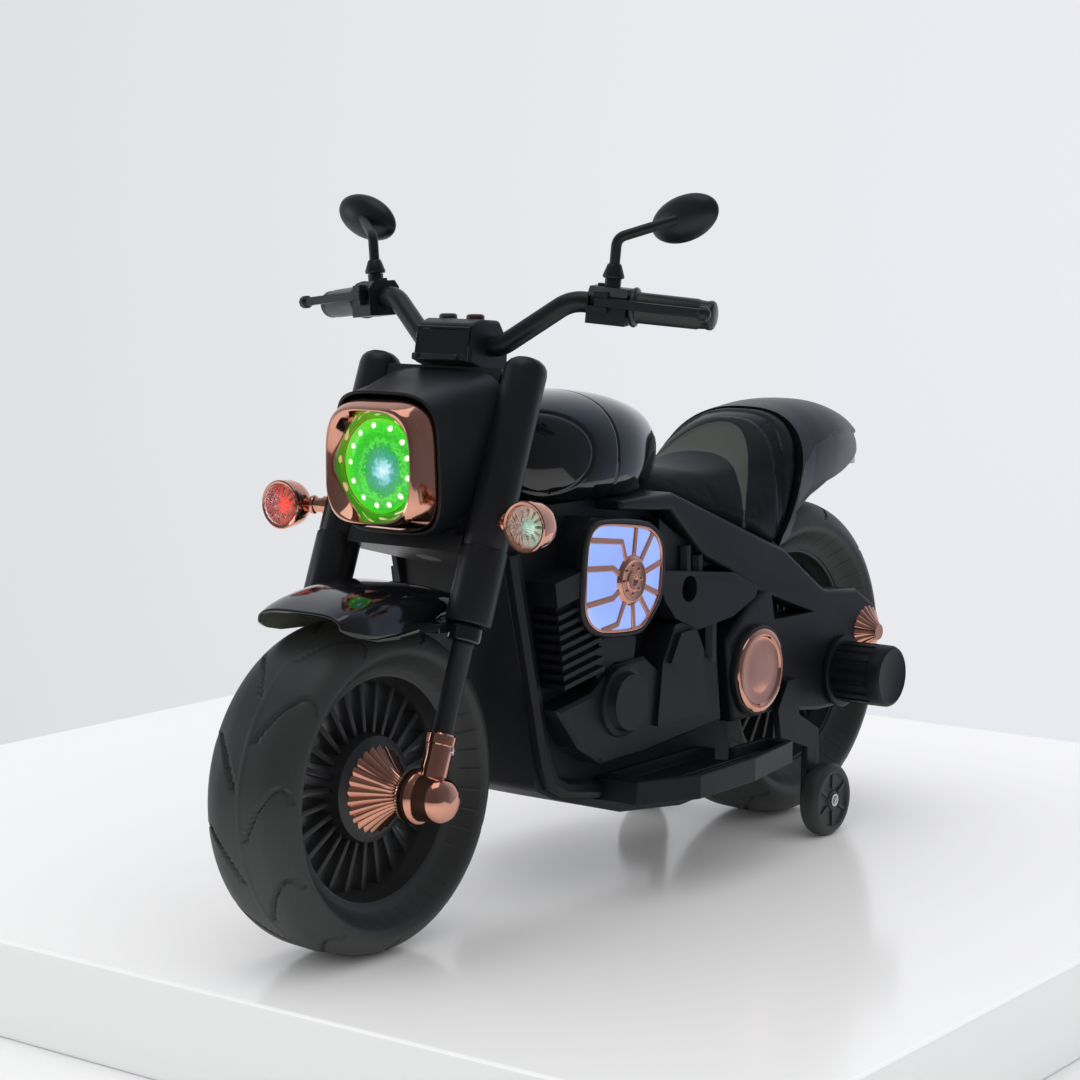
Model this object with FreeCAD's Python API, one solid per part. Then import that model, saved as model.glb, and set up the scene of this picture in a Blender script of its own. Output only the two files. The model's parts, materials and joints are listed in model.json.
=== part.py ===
import FreeCAD, Part
import math
import os

# Kids electric motorbike, cruiser style, in millimetres.
# Frame: +Z up, the bike faces -Y, its left side is +X, the floor is Z = 0.
# Stations called y below are measured rearward from the front axle, on a drawing whose
# marks are the tank's front, the seat's end and the rear axle; they stretch with the wheelbase.

# Wheels and stance
station_marks = (160.0, 540.0, 648.0)
front_tyre_radius = 140.0
rear_tyre_radius = 162.0
wheelbase = 648.0
tyre_half_width = 48.0
rear_tyre_half_width = 50.0
tyre_wall = 43.0
tyre_sides = 36
rear_tyre_wall = 52.0
rim_face = 25.0
spoke_count = 26
spoke_width = 4.2
spoke_depth = 9.0
rim_band = 6.0
hub_disc_radius = 46.0
hub_cone_base = 37.0
hub_cone_tip = 12.0
hub_cone_length = 30.0
flute_count = 12
flute_depth = 0.13
cap_flutes = 10
front_axle_radius = 5.0
rear_axle_radius = 6.0
dog_radius = 30.0
dog_teeth = 6
dog_depth = 6.0

# Steering head and fork
rake = 21.2
fork_offset = 28.0
fork_half_gap = 80.0
fork_tube_radius = 9.0
fork_cover_radius = 19.5
fork_sleeve_radius = 20.5
fork_seam = 212.0
fork_cover_top = 379.0
fork_foot = 24.0
fork_sides = 18
stem_radius = 11.0
neck_radius = 21.0
neck_low = 222.0
neck_high = 300.0
lower_bridge_low = 205.0
lower_bridge_high = 219.0
upper_bridge_low = 352.0
upper_bridge_high = 366.0
bridge_front = 10.0
bridge_back = 48.0
clamp_barrel_radius = 23.0
clamp_start = 58.0
clamp_end = 106.0
clamp_sleeve_radius = 12.0
fender_centre_y = 11.0
fender_drop = 24.0
fender_rise = 55.0
fender_collar_drop = 48.0
fender_collar_length = 14.0
fender_half_width = 55.0
fender_front = -66.0
fender_back = 92.0

# Headlight and signals
lens_rise = 265.5
lens_half_width = 38.0
lens_half_height = 45.0
lens_rim_y = 36.0
lens_bulge = 11.0
lens_skirt = 5.0
bezel_front_y = 24.0
bezel_back_y = 60.0
signal_x = 134.0
signal_y = 72.0
signal_rise = 221.5
signal_radius = 21.5
signal_stalk_radius = 6.5

# Handlebar
bar_radius = 9.0
bar_clamp_y = 150.0
bar_clamp_rise = 361.0
bar_clamp_half = 40.0
bar_knee = (97.0, 174.0, 40.0)
bar_tip = (206.0, 216.0, 29.0)
bar_bend = 26.0
dash_half_width = 31.0
dash_rise = 24.0
grip_radius = 13.0
grip_start = 54.0
grip_length = 72.0
switch_start = 18.0
switch_length = 34.0
button_radius = 8.0
button_travel = 2.0
button_half_gap = 15.0
lever_pin = 2.2
mirror_base = 22.0
mirror_head = (176.0, 228.0, 109.0)
mirror_half_width = 34.0
mirror_half_height = 21.5
mirror_depth = 12.0
mirror_tilt = 14.0
mirror_stalk_radius = 4.5
mirror_pin = 3.0
mirror_pin_depth = 8.0

# Body, tank, seat and tail
hull_half_width = 60.0
hull_front_gap = 32.0
wall = 3.0
deck_height = 362.0
seat_line_start = 345.0
seat_line_end = 540.0
seat_line_drop = 72.0
wheel_well_gap = 12.0
seat_wheel_gap = 2.0
cradle_radius = 8.5
cradle_x = 62.0
arm_half_outer = 88.0
rail_front = 262.0
tail_end = 775.0
cowl_front_low = 541.0
cowl_front_lean = 0.5
battery_size = (90.0, 92.0, 100.0)
battery_y = 250.0
shelf_height = 118.0

# Cross-sections of the rounded shells: station, half width, lowest and highest point.
# Heights are measured from the deck.
tank_stations = [(164, 34, 10, 62), (182, 54, -10, 84), (215, 70, -16, 93), (260, 78, -19, 95.5), (305, 77, -18, 91.5),
                 (345, 64, -12, 83), (375, 47, -4, 72.5), (402, 29, 6, 59.5), (422, 14, 14, 46), (436, 5, 20, 32)]
cowl_stations = [(520, 89, -112, 56), (560, 87.5, -102, 61), (600, 84.5, -87, 63.5), (650, 78, -77, 62),
                 (700, 66, -67, 54), (740, 53, -60, 44), (tail_end, 38, -48, 31)]
seat_stations = [(372, 30, -32, 15), (404, 44, -42, 14), (440, 60, -62, 10), (480, 76, -72, 9), (520, 86, -92, 18),
                 (556, 87.5, -100, 40), (590, 85, -92, 59), (640, 80, -77, 60)]

# Side trim
engine_face = 86.0
clutch_y = 266.0
clutch_z = 181.0
clutch_radius = 27.5
fin_count = 8
fin_pitch = 9.0
fin_half_width = 30.0
barrel_height = 78.0
cleaner_y = 262.0
cleaner_drop = 68.0
cleaner_face = 90.0
grille_spokes = 11
grille_bar = 4.5
timing_y = 486.0
timing_z = 178.0
timing_radius = 43.0
bobbin_flange_radius = 36.0
bobbin_radius = 31.0
bobbin_end = 148.0
bobbin_ribs = 9
bobbin_sides = 14
bobbin_drop = 8.0
rear_cap_y = 700.0
rear_cap_rise = 26.0
rear_cap_radius = 26.0
board_outer = 136.0
board_front = 262.0
board_back = 502.0
board_floor = 99.0
board_rim = 110.0
board_base = 88.0
board_ribs = 5
stabiliser_radius = 36.0
stabiliser_y = 585.0
stabiliser_inner = 99.0
stabiliser_width = 21.0
stabiliser_pin = 5.0
stabiliser_slots = 6
stabiliser_sides = 18
pedal_pin = 3.0

# Fits
running_fit = 0.06
seat_fit = 0.05
face_gap = 0.3
trim_gap = 0.2

lens_height = front_tyre_radius + lens_rise
signal_z = front_tyre_radius + signal_rise
bar_clamp_z = front_tyre_radius + bar_clamp_rise
dash_top = bar_clamp_z + dash_rise
fender_centre_z = front_tyre_radius - fender_drop
fender_radius = front_tyre_radius + fender_rise
fender_top = fender_centre_z + fender_radius
cleaner_z = deck_height - cleaner_drop
sin_r = math.sin(math.radians(rake))
cos_r = math.cos(math.radians(rake))
collar_low = (fender_top - fender_collar_drop - front_tyre_radius) / cos_r
fork_cover_low = collar_low + fender_collar_length + 1
front_axle_y = front_tyre_radius - (front_tyre_radius + wheelbase + rear_tyre_radius) / 2
V = FreeCAD.Vector
X = V(1, 0, 0)
Y = V(0, 1, 0)
Z = V(0, 0, 1)
fork_up = V(0, sin_r, cos_r)
fork_back = V(0, cos_r, -sin_r)


def along(y):
    # Place of a drawn station: the middle stretches, the rear keeps its distance to the axle
    front, seat_end, axle = station_marks
    if y <= front:
        return y
    if y >= seat_end:
        return y - axle + wheelbase
    return front + (y - front) * (wheelbase - axle + seat_end - front) / (seat_end - front)


def pt(x, y, z):
    return V(x, front_axle_y + along(y), z)


def fork_pt(x, s, a=0.0):
    return pt(x, 0, front_tyre_radius) + fork_up * s + fork_back * a


def mirrored(shape):
    return shape.mirror(V(0, 0, 0), X)


def pair(shape):
    return Part.makeCompound([shape, mirrored(shape)])


def rod(radius, start, end):
    axis = end - start
    return Part.makeCylinder(radius, axis.Length, start, axis)


def outline(corners, place):
    # Closed wire with each corner (u, v, radius) rounded by an arc
    count = len(corners)
    spans = []
    for i in range(count):
        u, v, radius = corners[i]
        before = corners[i - 1]
        after = corners[(i + 1) % count]
        to_before = V(before[0] - u, before[1] - v, 0).normalize()
        to_after = V(after[0] - u, after[1] - v, 0).normalize()
        corner = V(u, v, 0)
        if radius == 0:
            spans.append((corner, corner, corner))
            continue
        half = to_before.getAngle(to_after) / 2
        reach = radius / math.tan(half)
        inward = (to_before + to_after).normalize()
        middle = corner + inward * (radius / math.sin(half) - radius)
        spans.append((corner + to_before * reach, middle, corner + to_after * reach))
    edges = []
    for i in range(count):
        start, middle, end = [place(p.x, p.y) for p in spans[i]]
        if corners[i][2] > 0:
            edges.append(Part.Arc(start, middle, end).toShape())
        following = spans[(i + 1) % count][0]
        edges.append(Part.makeLine(end, place(following.x, following.y)))
    return Part.Wire(edges)


def side_slab(corners, x0, x1):
    wire = outline(corners, lambda y, z: pt(x0, y, z))
    return Part.Face(wire).extrude(V(x1 - x0, 0, 0))


def plan_slab(corners, z0, z1):
    wire = outline(corners, lambda x, y: pt(x, y, z0))
    return Part.Face(wire).extrude(V(0, 0, z1 - z0))


def fork_slab(corners, s0, s1):
    wire = outline(corners, lambda x, a: fork_pt(x, s0, a))
    return Part.Face(wire).extrude(fork_up * (s1 - s0))


def facet(corners):
    return Part.Face(Part.makePolygon(corners + corners[:1]))


def skin(rings):
    # Solid of flat facets through matching rings of points
    faces = [facet(rings[0]), facet(rings[-1])]
    for low, high in zip(rings, rings[1:]):
        for i in range(len(low)):
            a, b, c, d = low[i - 1], low[i], high[i], high[i - 1]
            warp = (b - a).cross(d - a).dot(c - a)
            if abs(warp) < 1e-6:
                faces.append(facet([a, b, c, d]))
            else:
                faces.append(facet([a, b, c]))
                faces.append(facet([a, c, d]))
    solid = Part.Solid(Part.Shell(faces))
    if solid.Volume < 0:
        solid.reverse()
    return solid


def ring(centre, axis, radius, sides, side=Z):
    across = axis.cross(side)
    points = []
    for i in range(sides):
        t = 2 * math.pi * (i + 0.5) / sides
        points.append(centre + (side * math.cos(t) + across * math.sin(t)) * radius)
    return points


def spun(profile, centre, axis, sides, side=Z):
    # Round solid with flat ends through (along, radius) points
    return skin([ring(centre + axis * a, axis, r, sides, side) for a, r in profile])


def prism(radius, start, end, sides, side=Z):
    # Many-sided bar between two points, for rounds that nothing turns on
    axis = (end - start).normalize()
    return facet(ring(start, axis, radius, sides, side)).extrude(end - start)


def oval(y, half_width, low, high, power, corners):
    # Many-sided superellipse standing across the bike at station y
    mid = (low + high) / 2
    half = (high - low) / 2
    points = []
    for i in range(corners):
        t = 2 * math.pi * (i + 0.5) / corners
        c = math.cos(t)
        s = math.sin(t)
        x = half_width * math.copysign(abs(c) ** (2 / power), c)
        z = mid + half * math.copysign(abs(s) ** (2 / power), s)
        points.append(pt(x, y, z))
    return points


def oval_loft(stations, power, corners, inset=0.0):
    rings = []
    for y, half_width, low, high in stations:
        rings.append(oval(y, half_width - inset, low + inset, high - inset, power, corners))
    return skin(rings)


def raised(stations, y0, z0):
    # Stations moved to their own start along the bike and height
    return [(y + y0, half_width, low + z0, high + z0) for y, half_width, low, high in stations]


def dome(y, z, half_width, half_height, depth, corners):
    # Oval cap bulging forward from station y
    stations = []
    for share in (0.93, 0.74, 0.42, 0.0):
        scale = math.sqrt(1 - share * share)
        low = z - half_height * scale
        stations.append((y - depth * share, half_width * scale, low, 2 * z - low))
    return oval_loft(stations, 2.0, corners)


def turned(shape, count, centre, axis):
    copies = []
    for i in range(count):
        copy = shape.copy()
        copy.rotate(centre, axis, 360.0 * i / count)
        copies.append(copy)
    return copies


def bent_rod(points, bends, radius, sides):
    # Round rod along straight runs, each bend made of short mitred runs
    route = [points[0]]
    for corner, before, after, bend in zip(points[1:-1], points, points[2:], bends):
        back = (before - corner).normalize()
        ahead = (after - corner).normalize()
        half = back.getAngle(ahead) / 2
        reach = bend / math.tan(half)
        inward = (back + ahead).normalize()
        route.append(corner + back * reach)
        route.append(corner + inward * (bend / math.sin(half) - bend))
        route.append(corner + ahead * reach)
    route.append(points[-1])
    along = (route[1] - route[0]).normalize()
    section = ring(route[0], along, radius, sides, along.cross(V(0.3, 0.2, 1)).normalize())
    rings = [section]
    for i in range(1, len(route)):
        along = (route[i] - route[i - 1]).normalize()
        normal = along
        if i < len(route) - 1:
            normal = along + (route[i + 1] - route[i]).normalize()
        section = [p + along * ((route[i] - p).dot(normal) / along.dot(normal)) for p in section]
        rings.append(section)
    return skin(rings)


def block(low, high):
    # Box between two corner points
    size = high - low
    return Part.makeBox(size.x, size.y, size.z, low)


def tyre(centre, radius, half_width, depth):
    flat = 1 / math.cos(math.pi / tyre_sides)
    half = [(half_width, radius - 11), (0.9 * half_width, radius - 4), (0.72 * half_width, radius)]
    round_tyre = spun([(a, r * flat) for a, r in half + [(-a, r) for a, r in reversed(half)]], centre, X, tyre_sides)
    round_tyre = round_tyre.cut(prism(radius - depth, centre - X * 80, centre + X * 80, tyre_sides))
    dish = spun([(rim_face + 2, radius - depth - 2), (half_width + 1, radius - depth * 0.46)], centre, X, tyre_sides)
    return round_tyre.cut([dish, mirrored(dish)])


def star(centre, x, radius, count, depth):
    # Fluted ring of points across the axle line
    points = []
    for i in range(2 * count):
        t = math.pi * i / count
        r = radius if i % 2 == 0 else radius * (1 - depth)
        points.append(centre + V(x, r * math.sin(t), r * math.cos(t)))
    return points


def fluted_cone(centre, start, base, tip, length, flutes):
    # Trumpet-shaped cap whose flutes run down its slope
    waist = base * 0.5 + tip * 0.55
    return skin([star(centre, start, base, flutes, flute_depth),
                 star(centre, start + length * 0.42, waist, flutes, flute_depth),
                 star(centre, start + length, tip, flutes, flute_depth)])


def rim(centre, seat_radius, bore):
    # Spoked disc: windows between the spokes are cut through one web
    web = prism(seat_radius, centre - X * spoke_depth, centre + X * spoke_depth, tyre_sides)
    hub = prism(hub_disc_radius, centre - X * rim_face, centre + X * rim_face, 16)
    low = hub_disc_radius + 1
    high = seat_radius - rim_band
    gap = math.pi / spoke_count
    near = low * math.tan(gap) - spoke_width / 2
    far = high * math.tan(gap) - spoke_width / 2
    edge = -spoke_depth - 1
    window = facet([centre + V(edge, -near, low), centre + V(edge, near, low), centre + V(edge, far, high),
                    centre + V(edge, -far, high)])
    cutter = window.extrude(X * (2 * spoke_depth + 2))
    wheel = web.cut(turned(cutter, spoke_count, centre, X)).fuse(hub)
    return wheel.cut(rod(bore, centre - X * 60, centre + X * 60)).removeSplitter()


front_hub = pt(0, 0, front_tyre_radius)
rear_hub = pt(0, station_marks[2], rear_tyre_radius)
nodes = {}


def front_wheel():
    seat = front_tyre_radius - tyre_wall
    nodes["front_tyre"] = tyre(front_hub, front_tyre_radius, tyre_half_width, tyre_wall)
    nodes["front_rim"] = rim(front_hub, seat - seat_fit, front_axle_radius + running_fit)
    cone = fluted_cone(front_hub, rim_face, hub_cone_base, hub_cone_tip, hub_cone_length, flute_count)
    nodes["front_hub_cones"] = pair(cone.cut(prism(front_axle_radius + 1, front_hub, front_hub + X * 80, 10)))


def rear_wheel():
    seat = rear_tyre_radius - rear_tyre_wall
    nodes["rear_tyre"] = tyre(rear_hub, rear_tyre_radius, rear_tyre_half_width, rear_tyre_wall)
    nodes["rear_rim"] = rim(rear_hub, seat - seat_fit, rear_axle_radius + running_fit)
    dog = facet(star(rear_hub, -rim_face, dog_radius, dog_teeth, 0.2)).extrude(X * -dog_depth)
    nodes["drive_dog"] = dog.cut(prism(rear_axle_radius + 1, rear_hub, rear_hub - X * 80, 10))


def fork():
    foot = fork_pt(fork_half_gap, 0)
    tube = prism(fork_tube_radius, foot + fork_up * fork_foot, foot + fork_up * upper_bridge_low, 16, fork_back)
    nodes["fork_tubes"] = pair(tube)
    r, sleeve, top = fork_cover_radius, fork_sleeve_radius, fork_cover_top
    cover = spun([(fork_cover_low, sleeve), (fork_seam, sleeve), (fork_seam + 1, r), (top - 9, r), (top - 3, r - 4),
                  (top, r - 12)], foot, fork_up, fork_sides, fork_back)
    cover = cover.cut(prism(fork_tube_radius + seat_fit, foot + fork_up * (fork_cover_low - 1),
                            foot + fork_up * (upper_bridge_low + face_gap), 16, fork_back))
    nodes["fork_cover_left"] = cover
    nodes["fork_cover_right"] = mirrored(cover)


def bridge(low, high):
    half = fork_half_gap
    plate = fork_slab([(-half, -bridge_front, 0), (half, -bridge_front, 0), (half, 8, 0),
                       (26, bridge_back, 0), (-26, bridge_back, 0), (-half, 8, 0)], low, high)
    for side in (-half, half):
        plate = plate.cut(prism(fork_sleeve_radius + trim_gap, fork_pt(side, low - 1), fork_pt(side, high + 1),
                                fork_sides, fork_back))
    return plate.cut(prism(stem_radius + face_gap, fork_pt(0, low - 1, fork_offset),
                           fork_pt(0, high + 1, fork_offset), 16, fork_back))


def steering_head():
    nodes["fork_bridges"] = Part.makeCompound([bridge(lower_bridge_low, lower_bridge_high),
                                               bridge(upper_bridge_low, upper_bridge_high)])
    nodes["steering_stem"] = rod(stem_radius, fork_pt(0, lower_bridge_low, fork_offset),
                                 fork_pt(0, upper_bridge_high, fork_offset))


def front_axle():
    half = clamp_end - 10
    nodes["front_axle"] = rod(front_axle_radius, front_hub - X * half, front_hub + X * half)
    r = clamp_barrel_radius
    step = clamp_start + 17
    clamp = spun([(clamp_start, r), (step, r), (step + 3, r - 4), (clamp_end - 8, r - 4), (clamp_end, r - 11)],
                 front_hub, X, 14)
    foot = fork_pt(fork_half_gap, 0)
    clamp = clamp.fuse(prism(clamp_sleeve_radius, foot + fork_up * 10, foot + fork_up * 54, 16, fork_back))
    clamp = clamp.cut(prism(fork_tube_radius + seat_fit, foot + fork_up * fork_foot, foot + fork_up * 80, 16,
                            fork_back))
    clamp = clamp.cut(prism(front_axle_radius + face_gap, front_hub, front_hub + X * (half + face_gap), 12))
    nodes["axle_clamps"] = pair(clamp)


def front_fender():
    # Crowned skin spun about a centre just behind the axle, trimmed to its side outline
    centre = pt(0, fender_centre_y, fender_centre_z)
    w, r = fender_half_width, fender_radius
    shells = []
    for inset in (0, wall):
        half = [(w - inset, r - 60), (w - inset, r - 32), (w - 10 - inset, r - 13 - inset), (w - 30, r - 3 - inset)]
        shells.append(spun(half + [(-x, h) for x, h in reversed(half)], centre, X, 24))
    top = fender_top
    trim = side_slab([(fender_front - 2, top + 19, 0), (fender_front, top - 17, 8), (-40, top - 41, 26),
                      (34, top - 41, 16), (46, top - 30, 8), (fender_back, top - 27, 0), (fender_back, top + 19, 0)], -70, 70)
    fender = shells[0].cut(shells[1]).common(trim)
    eye = fork_pt(fork_half_gap, 0)
    collar = prism(14, eye + fork_up * collar_low, eye + fork_up * (collar_low + fender_collar_length), 16, fork_back)
    collar_y = (collar_low + fender_collar_length / 2) * sin_r
    arm = block(pt(w - 6, collar_y - 30, top - 39), pt(fork_half_gap - 4, collar_y - 4, top - 31))
    stay = collar.fuse(arm).cut(shells[1])
    stay = stay.cut(prism(fork_tube_radius + seat_fit, eye + fork_up * (collar_low - 30), eye + fork_up * (collar_low + 30),
                          16, fork_back))
    nodes["front_fender"] = fender.fuse([stay, mirrored(stay)]).removeSplitter()


def nacelle_stations(grow):
    rows = [(18, 49, -53.5, 56.5), (44, 53, -55.5, 58.5), (90, 57, -56.5, 66.5), (150, 58, -57.5, 78.5)]
    return raised([(y, half + grow, low - grow, high + grow) for y, half, low, high in rows], 0, lens_height)


def nacelle():
    half = fork_half_gap
    shell = oval_loft(nacelle_stations(wall), 4.2, 14).cut(oval_loft(nacelle_stations(0), 4.2, 14))
    low, top = lens_height - 65.5, max(lens_height + 80, dash_floor(122))
    mouth = [(30, top, 0), (26, lens_height + 56.5, 0), (44, lens_height + 38.5, 10), (52, low, 0), (200, low, 0),
             (200, top, 0)]
    shell = shell.common(side_slab(mouth, -half, half))
    behind = fork_slab([(-half, -bridge_front - face_gap, 0), (half, -bridge_front - face_gap, 0),
                        (half, 160, 0), (-half, 160, 0)], 120, 460)
    nodes["headlight_nacelle"] = shell.cut(behind)


def headlight():
    low = lens_height - lens_half_height
    high = lens_height + lens_half_height
    skirt = lens_rim_y + lens_skirt
    shape = [(bezel_front_y - 3, 46, -47.5, 48.5), (bezel_front_y, 48, -49.5, 50.5), (44, 52.7, -55.2, 58.2),
             (bezel_back_y, 54, -55.5, 60.9)]
    bezel = oval_loft(raised(shape, 0, lens_height), 4.2, 14)
    dish = [(bezel_front_y - 4, lens_half_width + 6, low - 6, high + 6), (lens_rim_y, lens_half_width, low, high),
            (skirt + 2, lens_half_width, low, high)]
    pocket = raised([(skirt, 47, -48.5, 49.5), (bezel_back_y + 1, 50, -51.5, 52.5)], 0, lens_height)
    nodes["headlight_bezel"] = bezel.cut(oval_loft(dish, 2.0, 16)).cut(oval_loft(pocket, 4.2, 14))
    w, h = lens_half_width - trim_gap, lens_half_height - trim_gap
    nodes["headlight_lens"] = dome(lens_rim_y, lens_height, w, h, lens_bulge, 16)
    board = raised([(skirt + face_gap, 46, -47.5, 48.5), (skirt + 5, 46.5, -48, 49)], 0, lens_height)
    nodes["headlight_reflector"] = oval_loft(board, 4.2, 14)


def signals():
    centre = pt(signal_x, signal_y, signal_z)
    r = signal_radius
    shell = spun([(-13, r), (2, r), (20, 8)], centre, Y, 16)
    shell = shell.cut(spun([(-14, r - 2.5), (-8, r - 2.5)], centre, Y, 16))
    root = fork_pt(fork_half_gap, (signal_z - front_tyre_radius) / cos_r)
    stalk = bent_rod([centre - X * (r - 3), root], [], signal_stalk_radius, 10)
    stalk = stalk.cut(prism(fork_cover_radius + trim_gap, root - fork_up * 60, root + fork_up * 60, fork_sides, fork_back))
    nodes["signal_housings"] = pair(shell.fuse(stalk).removeSplitter())
    lens_r = r - 2.5 - trim_gap
    nodes["signal_lenses"] = pair(spun([(-18, lens_r * 0.5), (-13, lens_r), (-8, lens_r)], centre, Y, 16))


knee = pt(*bar_knee) + Z * bar_clamp_z
bar_end = pt(*bar_tip) + Z * bar_clamp_z
bar_dir = (bar_end - knee).normalize()
bar_turn = FreeCAD.Rotation(X, bar_dir)


def along_bar(shape, distance):
    # Moves a shape built at the origin along +X onto the straight end of the bar
    placed = shape.copy()
    placed.Placement = FreeCAD.Placement(knee + bar_dir * distance, bar_turn)
    return placed


def handlebar():
    clamp = pt(bar_clamp_half, bar_clamp_y, bar_clamp_z)
    left = [clamp, knee, bar_end]
    right = [V(-p.x, p.y, p.z) for p in reversed(left)]
    nodes["handlebar"] = bent_rod(right + left, [bar_bend] * 4, bar_radius, 10)


def dash_floor(y):
    # Height of the upper bridge's top face at station y
    return front_tyre_radius + (upper_bridge_high + face_gap - y * sin_r) / cos_r


def dash():
    w = dash_half_width
    box = side_slab([(117, dash_floor(117), 0), (124, dash_top - 4, 0), (136, dash_top, 0), (162, dash_top - 2, 0),
                     (174, dash_top - 20, 0), (172, dash_floor(172), 0)], -w, w)
    lip = side_slab([(112, dash_floor(112) + 1, 0), (113, dash_floor(112) + 9, 0), (122, dash_floor(122) + 8, 0),
                     (122, dash_floor(122) + 1, 0)], 2 - w, w - 2)
    box = box.fuse(lip).cut(prism(bar_radius + face_gap, pt(-60, bar_clamp_y, bar_clamp_z),
                                  pt(60, bar_clamp_y, bar_clamp_z), 12))
    floor = dash_top - button_travel - 4
    for side, name in ((1, "start_button"), (-1, "horn_button")):
        base = pt(button_half_gap * side, 147, floor)
        box = box.cut(facet(ring(base, Z, button_radius + face_gap, 12, X)).extrude(Z * 20))
        nodes[name] = spun([(button_travel, button_radius), (7, button_radius), (10, button_radius * 0.6)],
                           base, Z, 12, X)
    nodes["dash_box"] = box.removeSplitter()


def controls():
    half = switch_length / 2
    section = [(-17, -16), (-17, 8), (-11, 15), (10, 15), (14, 9), (14, -12), (10, -16)]
    case = facet([V(0, b, c) for b, c in section]).extrude(X * switch_length)
    pivot = V(half - 4, -18, 3)
    hinge = block(V(half - 10, -23, -6), V(half + 2, -16, 12))
    case = case.fuse([spun([(12, 7), (mirror_base, 7)], V(half, 0, 0), Z, 10, X), hinge])
    case = case.cut(block(V(half - 16, -30, -1), V(switch_length + 9, -9.5, 7)))
    case = case.cut(prism(bar_radius + face_gap, V(-5, 0, 0), V(switch_length + 5, 0, 0), 12))
    case = case.fuse(rod(lever_pin, pivot - Z * 6, pivot + Z * 6)).removeSplitter()
    socket = V(half, 0, mirror_base - mirror_pin_depth - 1)
    case = case.cut(rod(mirror_pin + running_fit, socket, socket + Z * (mirror_pin_depth + 2)))
    nodes["switch_boxes"] = pair(along_bar(case, switch_start))
    r, tip = grip_radius, grip_length
    grip = spun([(0, r + 4), (4, r + 4), (6, r), (tip - 5, r - 1.5), (tip, r - 5)], V(0, 0, 0), X, 14)
    bore = (bar_end - knee).Length - grip_start + face_gap
    grip = grip.cut(prism(bar_radius + face_gap, V(-1, 0, 0), V(bore, 0, 0), 12))
    nodes["grips"] = pair(along_bar(grip, grip_start))
    blade = outline([(-5, -23, 0), (8, -23, 0), (40, -31, 0), (86, -31, 0), (86, -25, 0), (40, -25, 0),
                     (20, -20.5, 0), (9, -13, 0), (-5, -13, 0)], lambda a, b: pivot + V(a, b + 18, -3.7))
    lever = Part.Face(blade).extrude(Z * 7.4)
    knob = V(half + 86, -28, 3)
    lever = lever.fuse(spun([(-6, 2.5), (-3, 6), (3, 6), (6, 2.5)], knob, X, 10)).removeSplitter()
    lever = along_bar(lever.cut(rod(lever_pin + running_fit, pivot - Z * 9, pivot + Z * 9)), switch_start)
    nodes["lever_left"] = lever
    nodes["lever_right"] = mirrored(lever)


def mirrors():
    foot = along_bar(Part.Vertex(V(switch_length / 2, 0, mirror_base)), switch_start).Point + bar_up * face_gap
    head = pt(*mirror_head) + Z * bar_clamp_z
    elbow = foot + bar_up * 34
    stalk = bent_rod([foot, elbow, head - Y * 5], [12], mirror_stalk_radius, 8)
    stalk = stalk.fuse(rod(mirror_pin, foot - bar_up * mirror_pin_depth, foot))
    w, h = mirror_half_width, mirror_half_height
    shell = dome(0, 0, w, h, mirror_depth, 14)
    lip = oval_loft([(0, w, -h, h), (3, w - 0.5, 0.5 - h, h - 0.5)], 2.0, 14)
    pane = oval_loft([(1.2, w - 3, 3 - h, h - 3), (3.2, w - 3, 3 - h, h - 3)], 2.0, 14)
    glass = oval_loft([(1.2, w - 3.2, 3.2 - h, h - 3.2), (2.8, w - 3.2, 3.2 - h, h - 3.2)], 2.0, 14)
    housing = shell.fuse(lip).cut(pane)
    turn = FreeCAD.Rotation(Y, -mirror_tilt)
    here = FreeCAD.Placement(head - turn.multVec(pt(0, 0, 0)), turn)
    for piece in (housing, glass, pane):
        piece.Placement = here
    body = housing.fuse(stalk.cut(pane)).removeSplitter()
    nodes["mirror_left"] = body
    nodes["mirror_right"] = mirrored(body)
    nodes["mirror_glass_left"] = glass
    nodes["mirror_glass_right"] = mirrored(glass)


bar_up = bar_turn.multVec(Z)


def seat_line(y):
    return deck_height - (y - seat_line_start) * seat_line_drop / (seat_line_end - seat_line_start)


def hull_outline(inset):
    t = inset
    end = seat_line_end + 20
    front = front_tyre_radius + hull_front_gap + t
    return [(132 + t, deck_height - 32, 0), (front, 112 + t, 10), (front + 26, 100 + t, 0), (301, 69 + t, 0),
            (400, 57 + t, 0), (seat_line_end - 20, 62 + t, 0), (end, seat_line(end) - t, 0),
            (seat_line_start, deck_height - t, 0), (150 + t, deck_height - t, 0)]


def neck_line(s, a):
    return (s * sin_r + a * cos_r, front_tyre_radius + s * cos_r - a * sin_r, 0)


def neck_post(grow):
    # Upright under the neck web that ties it to the hull
    low = deck_height - 30
    top = neck_line(neck_high - 21, 122)[1] + grow
    return [(165 - grow, low, 0), (215 + grow, low, 0), (215 + grow, top, 0), (165 - grow, top, 0)]


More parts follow.
